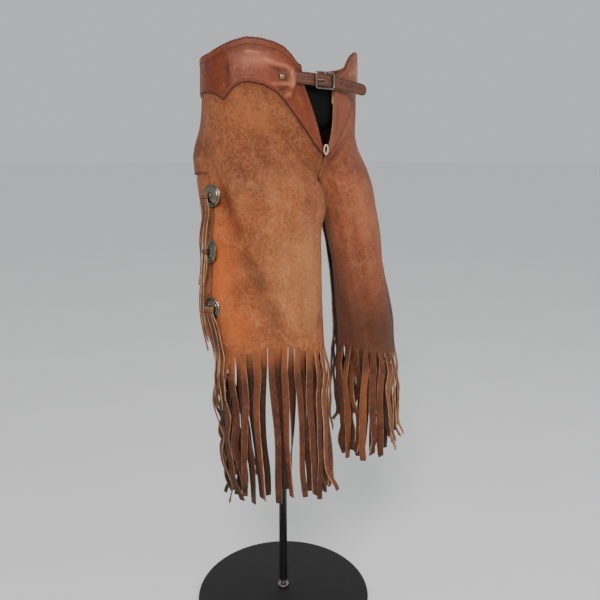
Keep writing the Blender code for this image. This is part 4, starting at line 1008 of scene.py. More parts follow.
def makeYoke(name):
    place = finePlaces
    top = heightOn(name, place, beltTop)
    bottom = heightOn(name, place, yokeBottom)
    drops = np.array(yoke["drops"])
    rises = np.array(yoke["rises"])
    heights = np.concatenate(
        [
            top[None, :] - drops[:, None],
            spread(top - drops[-1], bottom + rises[0], yoke["middle"])[1:-1],
            bottom[None, :] + rises[:, None],
        ]
    )
    wide = np.broadcast_to(place, heights.shape)
    station = stationAt(name, wide, heights)
    drop = top - heights
    rise = heights - bottom
    ahead = wide * stationArc
    behind = (place[-1] - wide) * stationArc
    pressedIn = -0.0006 * bell(drop, yoke["rimGroove"], 0.0005)
    pressedIn = pressedIn - 0.0006 * bell(drop, yoke["bandGroove"], 0.0006)
    for line in yoke["lines"]:
        pressedIn = pressedIn - 0.00035 * bell(drop, line, 0.00045) * smoothStep((ahead - 0.03) / 0.01)
    pressedIn = pressedIn - 0.0004 * bell(rise, yoke["footGroove"], 0.0005)
    pressedIn = pressedIn - 0.0004 * bell(ahead, yoke["frontGroove"], 0.0012)
    border = np.minimum(np.minimum(drop, rise), np.minimum(ahead, behind))
    lift = pressedIn - 0.0007 * bell(border, 0.0, 0.0007)
    degrees = station * waist["degrees"]
    creased = slantAt(yokeCreases[name], degrees, heights, yoke["degreeArc"])
    creased = creased * smoothStep(drop / 0.012)
    side = sides[name]
    soft = 0.0005 * np.sin(6.0 * station + 23.0 * heights + side) * np.sin(4.1 * station - 37.0 * heights)
    around = (degrees - yoke["strapFold"]["round"]) * yoke["degreeArc"]
    tall = smoothStep((heights - 1.0035) / 0.008) * smoothStep((1.0455 - heights) / 0.008)
    around = around + 0.0016 * np.sin(260.0 * heights)
    cover = np.exp(-np.abs(around / yoke["strapFold"]["half"]) ** 2.6) * tall
    cover = cover * (1.0 if name == "right" else 0.0)
    lift = lift + creased + soft * smoothStep(border / 0.01) + yoke["strapFold"]["lift"] * cover
    points = layer(name, station, heights, leather["gap"] + leather["wall"] + lift, False)
    farther = 0.0 if name == "right" else 0.35
    # painted highlight: a bright patch where the light catches the belt
    paintedHighlight = 0.7 * spotAt(degrees, heights, 50.0, 1.052, 13.0, 0.011)
    # crest: crease ridges get painted highlight; crease valleys and tooled grooves get painted shade,
    # partly with the tooling's own darker colour
    fields = {
        "crest": np.clip((creased * 1.4 + pressedIn * 1.7) / 0.0010, -1, 1),
        "edge": np.clip(border, 0, hide["borderWide"]),
        "paintedLightAndTone": 0.12 * bell(drop, 0.0, 0.0016) + 0.5 * cover + paintedHighlight + farther,
    }
    looks = looksOf("yokeHide")
    piece = sheetMesh("yoke." + name, name, points, looks, station, heights, fields)
    piece.modifiers["wall"].thickness = leather["wall"] - 0.0001
    return finished(piece, "yoke_" + name)


def makeLining(name):
    place = finePlaces
    top = heightOn(name, place, beltTop)
    bottom = heightOn(name, place, yokeBottom)
    foot = np.maximum(top - 0.042, bottom + underYoke + 0.0006)
    upper = top + 0.0018 + 0.0004 * np.sin(41.0 * place)
    heights = np.concatenate([spread(upper, upper - 0.003, 6), spread(upper - 0.003, foot, 10)[1:]])
    wide = np.broadcast_to(place, heights.shape)
    station = stationAt(name, wide, heights)
    drop = upper - heights
    points = layer(name, station, heights, -0.0006 * bell(drop, 0.0, 0.0006), False)
    border = np.minimum(drop, np.minimum(wide, place[-1] - wide) * stationArc)
    fields = {
        "edge": np.clip(border, 0, hide["borderWide"]),
        "paintedLightAndTone": 0.35 * bell(drop, 0.0, 0.002),
    }
    looks = looksOf("liningHide", "liningHide")
    piece = sheetMesh("beltLining." + name, name, points, looks, station, heights, fields)
    return finished(piece, "belt_lining_" + name)


# Fringe: strands by their widths, where they end and how they part, and the painted shade and sunlight at
# their heads
fringe = {
    "end": {"right": 0.346, "left": 0.362}, "rings": 6, "rounds": 160, "width": 0.0092,
    "wider": (0.98, 1.42), "head": (0.0075, 0.014), "thick": 0.0022, "gap": 0.0006,
    "cuts": ((0.0, 0.45), (0.5, 0.95)), "fine": 34, "seed": {"right": 11, "left": 23},
    "spread": (-0.017, 0.014), "sway": 0.005, "curl": 0.008, "twist": 0.55,
    "depth": 0.0045, "lean": {"right": (0.010, -0.010), "left": (0.004, -0.003)},
    "tips": [0.0, 0.0, 0.004, 0.009, -0.005], "headThick": 0.0023, "rootThick": 0.0028,
    "headShade": {"right": -0.10, "left": -0.45}, "sunlitGlow": {"right": 1.0, "left": 0.3},
}


def reach(turn, way, width):
    return width / 2 * np.abs(np.cos(way - turn)) + fringe["thick"] / 2 * np.abs(np.sin(way - turn))


def parted(centres, turns, widths):
    # pushes strands apart in plan until none meets another; the roots stay
    own = np.eye(centres.shape[1], dtype=bool)
    for _ in range(fringe["rounds"]):
        push = np.zeros_like(centres)
        for ring in range(len(centres) - 1):
            for share in (0.25, 0.5, 0.75, 1.0):
                spots = centres[ring] * (1 - share) + centres[ring + 1] * share
                turn = turns[ring] * (1 - share) + turns[ring + 1] * share
                width = widths[ring] * (1 - share) + widths[ring + 1] * share
                away = spots[:, None] - spots[None, :]
                far = np.hypot(away[..., 0], away[..., 1]) + own
                way = np.arctan2(away[..., 1], away[..., 0])
                need = reach(turn[:, None], way, width[:, None]) + reach(turn[None, :], way, width[None, :])
                short = np.where(own, 0.0, np.clip(need + fringe["gap"] - far, 0.0, None))
                step = (away / far[..., None] * short[..., None]).sum(axis=1) * 0.3
                push[ring] += step * (1 - share)
                push[ring + 1] += step * share
        push[0] = 0.0
        centres = centres + push
    return centres


def fringePlan(name, roots, ways, rootWidths, lowers):
    seeded = np.random.default_rng(fringe["seed"][name])
    count = len(roots)
    out = np.stack([ways[:, 1], -ways[:, 0]], axis=1) * sides[name]
    end = fringe["end"][name] + seeded.uniform(*fringe["spread"], count)
    sway = seeded.normal(0.0, fringe["sway"], count)
    wave = seeded.uniform(0.6, 1.3, count)
    phase = seeded.uniform(0.0, 2 * math.pi, count)
    depth = fringe["depth"] * (2 * (np.arange(count) % 2) - 1) + seeded.normal(0.0, 0.0025, count)
    slit = roots[2 * grid["slit"]]
    depth = np.where(np.linalg.norm(roots - slit, axis=1) < 0.045, -0.005, depth)
    curl = seeded.normal(0.0, fringe["curl"], count)
    twist = seeded.normal(0.0, fringe["twist"], count)
    heading = np.arctan2(ways[:, 1], ways[:, 0])
    lean = np.array(fringe["lean"][name])
    centres = [roots[:, :2]]
    turns = [heading]
    widths = [rootWidths]
    for ring in range(1, fringe["rings"] + 1):
        t = ring / fringe["rings"]
        along = sway * t + 0.0035 * np.sin(2 * math.pi * wave * t + phase) * t + curl * t**4
        shift = ways * along[:, None] + out * (depth * min(1.0, 2.0 * t))[:, None] + lean * t**2
        centres.append(roots[:, :2] + shift)
        turns.append(heading + twist * smoothStep(t))
        widths.append(lowers)
    centres = parted(np.array(centres), np.array(turns), np.array(widths))
    share = np.arange(fringe["rings"] + 1)[:, None] / fringe["rings"]
    heights = roots[None, :, 2] * (1 - share) + end[None, :] * share
    return np.concatenate([centres, heights[..., None]], axis=-1), np.array(turns), out


def facings(turn, side):
    # the way across a hanging strip, and the way that its grain faces
    across = np.stack([np.cos(turn), np.sin(turn), 0 * turn], axis=1)
    return across, np.stack([np.sin(turn), -np.cos(turn), 0 * turn], axis=1) * side


def ribbon(centres, across, out, widths, thick, bevel):
    # a flat thong along a path: rings of ten points, with faces for grain, flesh and cut edge
    half = widths[:, None] / 2
    edge = np.minimum(bevel, widths[:, None] * 0.25)
    flat = half - edge
    xs = np.concatenate([-flat, 0 * half, flat, half, half, flat, 0 * half, -flat, -half, -half], axis=1)
    t = thick[:, None] / 2
    inner = t - np.minimum(edge, t * 0.6)
    ys = np.concatenate([t, t * 1.08, t, inner, -inner, -t, -t * 1.08, -t, -inner, inner], axis=1)
    points = centres[:, None] + across[:, None] * xs[..., None] + out[:, None] * ys[..., None]
    faces, slots = cappedTube(*xs.shape, [0, 0, 2, 2, 2, 1, 1, 2, 2, 2])
    uv = np.stack([xs, np.broadcast_to(lengthAlong(centres)[:, None], xs.shape)], axis=-1)
    return points.reshape(-1, 3), faces, slots, uv.reshape(-1, 2)


def gathered(parts, label, looks, tones, sunlitGlows=None):
    # many ribbons in one mesh, each with its own painted shade and tone
    points = []
    faces = []
    slots = []
    uvs = []
    paintedLightAndTone = []
    start = 0
    for (spots, own, kinds, uv), value in zip(parts, tones):
        points.append(spots)
        faces += [tuple(v + start for v in face) for face in own]
        slots += kinds
        uvs.append(uv)
        paintedLightAndTone.append(np.full(len(spots), value) if np.isscalar(value) else value)
        start += len(spots)
    fields = {"paintedLightAndTone": np.concatenate(paintedLightAndTone)}
    if sunlitGlows:
        fields["sunlitGlow"] = np.concatenate(sunlitGlows)
    piece = makeMesh(label, np.concatenate(points), faces, looks, np.concatenate(uvs), fields)
    piece.data.polygons.foreach_set("material_index", slots)
    facingOut(piece)
    return piece


def hemRoots(name):
    # where each strand starts on the hem, its way along it, its width there and its head above
    seeded = np.random.default_rng(5 + fringe["seed"][name])
    heads = []
    roots = []
    ways = []
    rootWidths = []
    for first, last, outer in (
        (0, grid["slit"], 0.0),
        (grid["slit"], grid["columns"] - 1, -leather["wall"] - leather["lapGap"]),
    ):
        for cell in range(first, last):
            for low, high in fringe["cuts"]:
                place = (np.array([low, high]) + cell) * grid["step"]
                heights = hemHeight(name, place) - leather["hemStrip"]
                ends = layer(name, stationAt(name, place, heights), heights, outer - leather["wall"] / 2)
                way = ends[1] - ends[0]
                roots.append(ends.mean(axis=0))
                heights = heights + seeded.uniform(*fringe["head"])
                ends = layer(name, stationAt(name, place, heights), heights, outer - leather["wall"] / 2)
                heads.append(ends.mean(axis=0))
                rootWidths.append(np.linalg.norm(way[:2]))
                ways.append(way[:2] / rootWidths[-1])
    return np.array(roots), np.array(ways), np.array(rootWidths), heads


def makeFringe(name):
    roots, ways, rootWidths, heads = hemRoots(name)
    seeded = np.random.default_rng(71 + fringe["seed"][name])
    lowers = seeded.uniform(*fringe["wider"], len(roots)) * fringe["width"]
    centres, turns, outs = fringePlan(name, roots, ways, rootWidths, lowers)
    rings = np.arange(fringe["rings"] + 1.0)
    t = np.linspace(0.0, 1.0, fringe["fine"])
    at = t * fringe["rings"]
    parts = []
    tones = []
    sunlitGlows = []
    for own in range(len(roots)):
        path = readPath(rings, centres[:, own], at)
        turn = readSmooth(rings, turns[:, own], at)
        curlUp = seeded.choice(fringe["tips"]) * smoothStep((t - 0.8) / 0.2) ** 2
        wave = seeded.uniform(2.0, 4.0) * t + seeded.uniform()
        ripple = 0.0007 * np.sin(2 * math.pi * wave) * smoothStep(t * 4)
        path[:, :2] += outs[own] * (curlUp + ripple)[:, None]
        turn = turn + seeded.normal(0.0, 0.35) * smoothStep((t - 0.7) / 0.3)
        across, out = facings(turn, sides[name])
        rooted = rootWidths[own] * 1.07
        width = rooted + (lowers[own] - rooted) * smoothStep(t * 5)
        width = width * (1 + 0.06 * np.sin(2 * math.pi * (1.6 * t + seeded.uniform())))
        width[-1] *= 0.9
        thicker = fringe["rootThick"] - fringe["thick"]
        thick = fringe["thick"] + thicker * smoothStep((0.08 - t) / 0.08)
        path = np.concatenate([[heads[own]], path])
        across = np.concatenate([across[:1], across])
        out = np.concatenate([out[:1], out])
        width = np.concatenate([width[:1], width])
        thick = np.concatenate([[fringe["headThick"]], thick])
        path[-1, 2] += seeded.normal(0.0, 0.0016)
        parts.append(ribbon(path, across, out, width, thick, 0.0004))
        # painted shade: strands set further in, and the far leg's heads, are darker; strands also darken
        # towards their tips and vary at random; painted sunlight fades down from the head
        depth = ((centres[3, own, :2] - roots[own, :2]) @ outs[own]) / 0.006
        value = np.clip(seeded.normal(-0.22, 0.34) + 0.55 * np.clip(depth, -1, 0.6), -0.98, 0.5)
        drop = np.concatenate([[0.0], t])
        start = fringe["headShade"][name]
        value = start + (value - start) * smoothStep(drop * 4)
        tones.append(np.repeat(np.clip(value - 0.25 * drop**2, -1, 0.6), 10))
        sunlitGlows.append(np.repeat(fringe["sunlitGlow"][name] * (1 - smoothStep(drop * 5)), 10))
    looks = looksOf("fringeHide")
    split = 2 * grid["slit"]
    front = gathered(parts[:split], "frontFringe." + name, looks, tones[:split], sunlitGlows[:split])
    rear = gathered(parts[split:], "rearFringe." + name, looks, tones[split:], sunlitGlows[split:])
    return [
        finished(front, "front_fringe_" + name),
        finished(rear, "rear_fringe_" + name),
    ]


panels = {name: makePanel(name) for name in sides}
flaps = {name: makeFlap(name) for name in sides}
yokes = {name: makeYoke(name) for name in sides}
linings = {name: makeLining(name) for name in sides}
print("leather sheets made")
fringes = {name: makeFringe(name) for name in sides}
print("fringe made")


# Conchos from the top: height, knot and drift behind the middle, strands of the thong
conchos = [
    {
        "name": "upper", "z": 0.843, "knot": 0.007, "drift": 0.010, "strands": 3, "end": 0.690,
        "clear": 0.0125, "turn": 36, "petals": 0.2,
    },
    {
        "name": "middle", "z": 0.757, "knot": 0.004, "drift": 0.016, "strands": 3, "end": 0.602,
        "clear": 0.0085, "turn": 20, "petals": 0.7,
    },
    {
        "name": "lower", "z": 0.666, "knot": -0.004, "drift": -0.003, "strands": 4, "end": 0.508,
        "clear": 0.0045, "turn": 4, "petals": 1.0,
    },
]
disc = {
    "radius": 0.018, "rise": 0.0065, "steps": 96, "rows": 20, "lobes": 12, "beads": 32,
    "buttonAt": 0.25, "ringAt": 0.86, "beadsAt": 0.88,
    "rim": [0.925, 0.95, 0.975, 0.99, 1.0, 1.0, 0.97],
}
tie = {
    "knotHeight": 0.008, "knotThick": 0.0032, "pitch": 0.0046, "thick": 0.0017, "rings": 6,
    "fine": 36, "square": 0.7, "bevel": 0.0003, "wrapWide": 0.0032, "wrapThick": 0.0014,
    "wrapPitch": 0.0027,
}


def conchoFrame(name, row):
    z = row["z"]
    station = float(stationAt(name, np.array(grid["slit"] * grid["step"]), np.array(z)))
    centre = surface(name, station, z)
    out = normalAt(name, station, z)
    back = surface(name, station + 0.05, z) - surface(name, station - 0.05, z)
    back = unit(back - out * back.dot(out))
    turn = math.radians(row["turn"])
    out, back = out * math.cos(turn) + back * math.sin(turn), back * math.cos(turn) - out * math.sin(turn)
    around = np.linspace(-1.0, 1.0, 33)
    high = z + 0.024 * around[:, None]
    ahead = station - 0.5 * (around[None, :] + 1) / 2
    after = station + 0.5 * (around[None, :] + 1) / 2
    nearby = np.concatenate(
        [
            layer(name, ahead, high, 0.0).reshape(-1, 3),
            layer(name, after, high, -leather["wall"] - leather["lapGap"]).reshape(-1, 3),
        ]
    )
    nearby = nearby - centre
    rise = nearby @ out
    within = np.linalg.norm(nearby - rise[..., None] * out, axis=-1) < disc["radius"] * 1.05
    return centre + out * (rise[within].max() + 0.0003), back, out


def makeConcho(name, row):
    centre, back, out = conchoFrame(name, row)
    side = unit(np.cross(out, [0.0, 0.0, 1.0]))
    up = np.cross(side, out)
    turn = circle(disc["steps"])
    share = np.concatenate([np.linspace(0.0, 0.90, disc["rows"])[1:], disc["rim"]])
    petals = row["petals"]
    points = []
    hollow = []
    for number, s in enumerate(share):
        under = number >= len(share) - 2
        dome = disc["rise"] * (1 - s**2.1) * 0.86 + 0.0012
        button = 0.0009 * math.exp(-((s / 0.2) ** 4)) - 0.0008 * bell(s, disc["buttonAt"], 0.035)
        ring = 0.0007 * smoothStep((s - disc["beadsAt"]) / 0.05) - 0.0008 * bell(s, disc["ringAt"], 0.03)
        window = smoothStep((s - 0.27) / 0.1) * smoothStep((0.84 - s) / 0.08)
        lobe = np.abs(np.cos(turn * disc["lobes"] / 2)) ** 0.6
        relief = 0.0011 * petals * window * (lobe - 0.7)
        beads = np.cos(turn * disc["beads"])
        height = dome + button + ring + relief
        height = height + 0.00035 * smoothStep((s - disc["beadsAt"]) / 0.04) * beads
        if s >= 0.99:
            height = 0 * turn + (0.0 if under else 0.0009)
        radius = disc["radius"] * s * (1 + 0.012 * beads * (s > 0.9))
        spots = centre + out * height[:, None]
        spots = spots + (side * np.cos(turn)[:, None] + up * np.sin(turn)[:, None]) * radius[:, None]
        points.append(spots)
        groove = 0.8 * bell(s, disc["ringAt"], 0.04) + 0.7 * bell(s, disc["buttonAt"], 0.05)
        hollow.append(np.clip(groove + window * petals * (0.75 - lobe) * 1.2, 0, 1) + 0 * turn)
    crown = centre + out * (disc["rise"] * 0.86 + 0.0021)
    flat = np.concatenate([np.array(points).reshape(-1, 3), [crown], [centre]])
    faces = domeFaces(len(points), disc["steps"])
    label = "concho.%s.%s" % (row["name"], name)
    fields = {"hollow": np.concatenate([np.array(hollow).ravel(), [0.0, 0.5]])}
    piece = makeMesh(label, flat, faces, [materials["silver"]], None, fields)
    facingOut(piece)
    finished(piece, "concho_%s_%s" % (row["name"], name))
    return centre, back, out, flat


def makeTie(name, row, centre, back, out, face):
    cells = row["strands"]
    down = np.array([0.0, 0.0, -1.0])
    ahead = unit(out * np.array([1.0, 1.0, 0.0]))
    behind = unit(back * np.array([1.0, 1.0, 0.0]))
    top = centre + behind * row["knot"] - down * tie["knotHeight"] / 2
    half = cells * tie["pitch"] / 2
    inside = np.abs((face - top) @ behind) < half + 0.002
    inside &= np.abs((face - centre) @ down) < tie["knotHeight"]
    top = top + ahead * (((face[inside] - top) @ ahead).max() + 0.0006 + tie["knotThick"] / 2)
    heading = math.atan2(behind[1], behind[0])
    seeded = np.random.default_rng(int(row["z"] * 1000) + cells)
    splay = seeded.uniform(-0.2, 1.0, cells)
    start = stationAt(name, np.array(grid["slit"] * grid["step"]), np.array(row["z"]))
    span = np.linalg.norm(surface(name, start + 0.05, row["z"]) - surface(name, start - 0.05, row["z"]))
    perMetre = 0.1 / span
    parts = []
    tones = []
    for cell in range(cells):
        length = (row["z"] - row["end"]) * (0.90 + 0.10 * (cell % 2))
        middle = (cell - (cells - 1) / 2) * tie["pitch"]
        root = top + down * tie["knotHeight"] * 0.4 + behind * middle * 0.8
        spots = [root, root + down * tie["knotHeight"] * 0.7 + behind * middle * 0.15]
        base = top[2] - tie["knotHeight"]
        for t in np.arange(1, tie["rings"] + 1) / tie["rings"]:
            aside = row["knot"] + (row["drift"] - row["knot"]) * min(1.0, 2.6 * t)
            height = base - length * t
            rest = layer(name, start + aside * perMetre, height, row["clear"])
            off = 0.0028 * (cell % 2) + 0.011 * smoothStep((0.60 - height) / 0.05)
            along = middle * (1 + 0.1 * t) + 0.002 * splay[cell] * t**3
            spots.append(rest + behind * along + ahead * off)
        spots = np.array(spots)
        run = lengthAlong(spots)
        fine = np.linspace(0.0, run[-1], tie["fine"])
        path = readPath(run, spots, fine)
        t = fine / run[-1]
        path = path + behind * (0.0012 * np.sin(9.0 * t + 2.1 * cell) * t)[:, None]
        turn = heading + 0.12 * (-1) ** cell * t + seeded.normal(0.0, 0.9) * smoothStep((t - 0.25) / 0.6)
        across, facing = facings(turn, sides[name])
        width = np.full(len(t), tie["pitch"] * 0.92) * (1 - 0.25 * smoothStep((t - 0.85) / 0.15))
        parts.append(ribbon(path, across, facing, width, np.full(len(t), tie["thick"]), tie["bevel"]))
        tones.append(float(seeded.uniform(-0.3, 0.3)))
    for wrap in range(3):
        # turns of the knot: flat loops round the bundle, each a little askew
        turn = np.linspace(0.0, 2 * math.pi, 37)
        level = (wrap - 1) * tie["wrapPitch"]
        reachOut = tie["knotThick"] / 2 + 0.0009 + 0.0003 * (wrap == 1)
        wide = half * 0.92 + 0.0004 * (wrap == 1)
        path = top + down * (tie["knotHeight"] / 2 + level)
        swing = signedPower(np.cos(turn), tie["square"])
        depth = signedPower(np.sin(turn), tie["square"])
        path = path + behind * (swing * wide)[:, None] + ahead * (depth * reachOut)[:, None]
        path = path + down * (0.0012 * np.cos(turn + wrap))[:, None]
        across = np.broadcast_to(down, path.shape)
        facing = unit(behind * np.cos(turn)[:, None] + ahead * np.sin(turn)[:, None])
        widths = np.full(len(turn), tie["wrapWide"])
        thick = np.full(len(turn), tie["wrapThick"])
        parts.append(ribbon(path, across, facing, widths, thick, tie["bevel"]))
        tones.append(0.15 - 0.12 * wrap)
    label = "tie.%s.%s" % (row["name"], name)
    looks = looksOf("thongHide", "thongHide")
    piece = gathered(parts, label, looks, tones)
    return finished(piece, "tie_%s_%s" % (row["name"], name))


for name in sides:
    for row in conchos:
        makeTie(name, row, *makeConcho(name, row))
print("conchos and thongs made")


# Front strap: middle line to its free tip, and the chape that holds the buckle
strap = {
    "width": 0.019, "thick": 0.003, "chapeThick": 0.0022, "rings": 260, "across": 30,
    "waveLength": 0.0125, "waveDepth": 0.00045, "groove": 0.0022, "tip": 0.012,
    "grooveHalf": 0.00045, "waveHigh": 0.0026, "waveHalf": 0.0005, "prongHole": 0.0048,
    "spareHole": 0.0036,
    "spareAt": [(-0.0475, -0.111, 1.0269), (0.036, -0.116, 1.0221), (0.064, -0.1165, 1.0192)],
    "line": [
        (-0.0640, -0.1062, 1.0274), (-0.0540, -0.1087, 1.0272), (-0.0440, -0.1118, 1.0268),
        (-0.0330, -0.1146, 1.0262), (-0.0272, -0.1149, 1.0260), (-0.0190, -0.1194, 1.0256),
        (-0.0130, -0.1218, 1.0254), (-0.0050, -0.1218, 1.0251), (0.0010, -0.1196, 1.0249),
        (0.0088, -0.1150, 1.0246), (0.0142, -0.1151, 1.0242), (0.0210, -0.1160, 1.0236),
        (0.0350, -0.1160, 1.0222), (0.0600, -0.1164, 1.0196), (0.0820, -0.1166, 1.0170),
        (0.0970, -0.1162, 1.0150),
    ],
    "chapeLine": [
        (-0.0058, -0.1172, 1.0252), (0.0000, -0.1143, 1.0248), (0.0060, -0.1122, 1.0245),
        (0.0132, -0.1117, 1.0240), (0.0230, -0.1124, 1.0232), (0.0340, -0.1119, 1.0222),
        (0.0480, -0.1091, 1.0208), (0.0640, -0.1052, 1.0192),
    ],
}
buckle = {
    "x": -0.009, "y": -0.1185, "z": 1.0254, "width": 0.0445, "height": 0.028, "wire": 0.0016,
    "corner": 0.0045, "prong": 0.0011, "holeAt": -0.0052,
}


def alongPath(points, count):
    points = np.array(points, float)
    run = lengthAlong(points)
    at = np.linspace(0.0, run[-1], count)
    return readPath(run, points, at), at


def strapMesh(label, line, thick, tooled, rounded):
    path, run = alongPath(line, strap["rings"])
    way = unit(np.gradient(path, axis=0))
    out = unit(np.stack([way[:, 1], -way[:, 0], 0 * run], axis=1))
    up = np.cross(out, way)
    up = up * np.sign(up[:, 2:3])
    left = np.maximum(run[-1] - run, 0.0)
    wide = np.full(len(run), strap["width"] / 2)
    if rounded:
        tip = np.clip(1 - left / strap["tip"], 0, 1)
        wide = wide * np.sqrt(np.clip(1 - tip**2.2, 0.004, 1))
    count = strap["across"]
    share = np.linspace(-1.0, 1.0, count)
    rows = wide[:, None] * signedPower(share, 0.9)[None, :]
    border = wide[:, None] - np.abs(rows)
    edge = np.minimum(border, left[:, None] if rounded else 1.0)
    height = thick / 2 - 0.0007 * bell(edge, 0.0, 0.0006)
    deep = np.zeros_like(rows)
    if tooled:
        deep = deep + bell(border, strap["groove"], strap["grooveHalf"])
        inside = smoothStep((border - strap["groove"] - 0.0008) / 0.0008)
        phase = 2 * math.pi * run[:, None] / strap["waveLength"]
        wave = strap["waveHigh"] * np.sin(phase)
        lines = bell(rows, wave, strap["waveHalf"]) + bell(rows, -wave, strap["waveHalf"])
        ends = smoothStep(run[:, None] / 0.012) * smoothStep((left[:, None] - 0.008) / 0.008)
        deep = deep + inside * np.clip(lines, 0, 1) * ends
    height = height - strap["waveDepth"] * deep
    front = path[:, None] + up[:, None] * rows[..., None] + out[:, None] * height[..., None]
    rear = path[:, None] + up[:, None] * rows[:, ::-1, None] - out[:, None] * (thick / 2 - 0.0002)
    points = np.concatenate([front, rear], axis=1)
    kinds = [0] * (count - 1) + [2] + [1] * (count - 1) + [2]
    faces, slots = cappedTube(*points.shape[:2], kinds)
    # raised parts a little lighter and tooled grooves darker: painted highlight and painted shade, partly
    # with the tooling's own darker colour
    crest = np.concatenate([0.25 - 1.2 * np.clip(deep, 0, 1), np.zeros_like(deep)], axis=1)
    rim = np.concatenate([edge, np.full_like(edge, 0.01)], axis=1)
    lengths = np.broadcast_to(run[:, None], points.shape[:2])
    uv = np.stack([lengths, np.concatenate([rows, rows], axis=1)], axis=-1)
    fields = {
        "crest": np.clip(crest, -1, 1),
        "edge": np.clip(rim, 0, hide["borderWide"]),
        "paintedLightAndTone": 0 * crest,
    }
    looks = looksOf("strapHide")
    piece = makeMesh(label, points.reshape(-1, 3), faces, looks, uv.reshape(-1, 2), fields)
    piece.data.polygons.foreach_set("material_index", slots)
    facingOut(piece)
    return piece


def punch(piece, spots):
    # round holes from front to back
    cutters = []
    for number, (x, y, z, width) in enumerate(spots):
        shape = bmesh.new()
        bmesh.ops.create_cone(
            shape, cap_ends=True, segments=24, radius1=width / 2, radius2=width / 2, depth=0.02
        )
        mesh = bpy.data.meshes.new("hole%d" % number)
        for vert in shape.verts:
            vert.co = (vert.co.x + x, y + vert.co.z, z - vert.co.y)
        bmesh.ops.recalc_face_normals(shape, faces=shape.faces)
        shape.to_mesh(mesh)
        shape.free()
        mesh.materials.append(materials["cut"])
        cutter = linked("hole%d" % number, mesh)
        cut = piece.modifiers.new("hole", "BOOLEAN")
        cut.operation = "DIFFERENCE"
        cut.solver = "EXACT"
        cut.object = cutter
        cutters.append(cutter)
    baked(piece)
    for cutter in cutters:
        mesh = cutter.data
        bpy.data.objects.remove(cutter)
        bpy.data.meshes.remove(mesh)


frontStrap = strapMesh("frontStrap", strap["line"], strap["thick"], True, True)
holes = [(buckle["x"] + buckle["holeAt"], buckle["y"], buckle["z"], strap["prongHole"])]
holes += [(*spot, strap["spareHole"]) for spot in strap["spareAt"]]
punch(frontStrap, holes)
finished(frontStrap, "front_strap")
chape = strapMesh("buckleChape", strap["chapeLine"], strap["chapeThick"], False, False)
finished(chape, "buckle_chape")


def roundTube(label, path, radius, steps, closed, look, twist=0.0, lobe=0.0):
    # a tube along a path, or a laid cord where it has lobes and a twist
    spots = np.array(path, float)
    count = len(spots)
    if closed:
        way = np.roll(spots, -1, axis=0) - np.roll(spots, 1, axis=0)
    else:
        way = np.gradient(spots, axis=0)
    way = unit(way)
    side = unit(np.cross(way, [0.0, 1.0, 0.0]))
    depth = np.cross(way, side)
    run = lengthAlong(spots)
    turn = circle(steps)[None, :] + 0 * run[:, None]
    size = radius * (1 + lobe * np.cos(2 * (turn - twist * run[:, None])))
    points = spots[:, None] + side[:, None] * (np.cos(turn) * size)[..., None]
    points = points + depth[:, None] * (np.sin(turn) * size)[..., None]
    faces = tubeFaces(count, steps, closed)
    flatPoints = points.reshape(-1, 3)
    if not closed:
        ends = [spots[:1] - way[:1] * radius * 0.6, spots[-1:] + way[-1:] * radius * 0.6]
        flatPoints = np.concatenate([flatPoints, *ends])
        last = (count - 1) * steps
        for k in range(steps):
            n = (k + 1) % steps
            faces.append((count * steps, n, k))
            faces.append((count * steps + 1, last + k, last + n))
    piece = makeMesh(label, flatPoints, faces, [look], None, {"hollow": np.zeros(len(flatPoints))})
    facingOut(piece)
    return piece


def makeBuckle():
    halfWide = buckle["width"] / 2 - buckle["wire"]
    halfHigh = buckle["height"] / 2 - buckle["wire"]
    corner = buckle["corner"]
    loop = []
    for across, rise, start in ((1, 1, 0), (-1, 1, 90), (-1, -1, 180), (1, -1, 270)):
        for step in range(10):
            turn = math.radians(start + 10 * step)
            x = across * (halfWide - corner) + corner * math.cos(turn)
            z = rise * (halfHigh - corner) + corner * math.sin(turn)
            loop.append((buckle["x"] + x, buckle["y"], buckle["z"] + z))
    frameRing = roundTube("buckleFrame", loop, buckle["wire"], 16, True, materials["silver"])
    bar = [(buckle["x"], buckle["y"], buckle["z"] + halfHigh * s) for s in np.linspace(-1, 1, 12)]
    barTube = roundTube("buckleBar", bar, buckle["wire"] * 0.92, 16, False, materials["silver"])
    finished(frameRing, "buckle_frame")
    finished(barTube, None)
    high = buckle["z"]
    ahead = buckle["y"] - buckle["wire"] - buckle["prong"] - leather["gap"]
    prong = [
        (buckle["x"] - 0.0034, buckle["y"] + 0.0006, high),
        (buckle["x"] - 0.0046, buckle["y"] - 0.0022, high),
        (buckle["x"] - 0.0064, buckle["y"] - 0.0055, high),
        (buckle["x"] - 0.0110, buckle["y"] - 0.0052, high),
        (buckle["x"] - halfWide - 0.0022, ahead, high),
    ]
    path = alongPath(prong, 28)[0]
    prongTube = roundTube("buckleProng", path, buckle["prong"], 14, False, materials["silver"])
    finished(prongTube, "buckle_prong")


makeBuckle()


# Rings of a rivet's cap, outwards from its middle
cap = {
    "share": [0.25, 0.5, 0.72, 0.88, 0.97, 1.0, 1.0],
    "height": [0.97, 0.9, 0.74, 0.5, 0.25, 0.12, 0.0],
    "hollow": [0.0, 0.0, 0.1, 0.2, 0.5, 0.8, 0.9],
    "steps": 40,
}


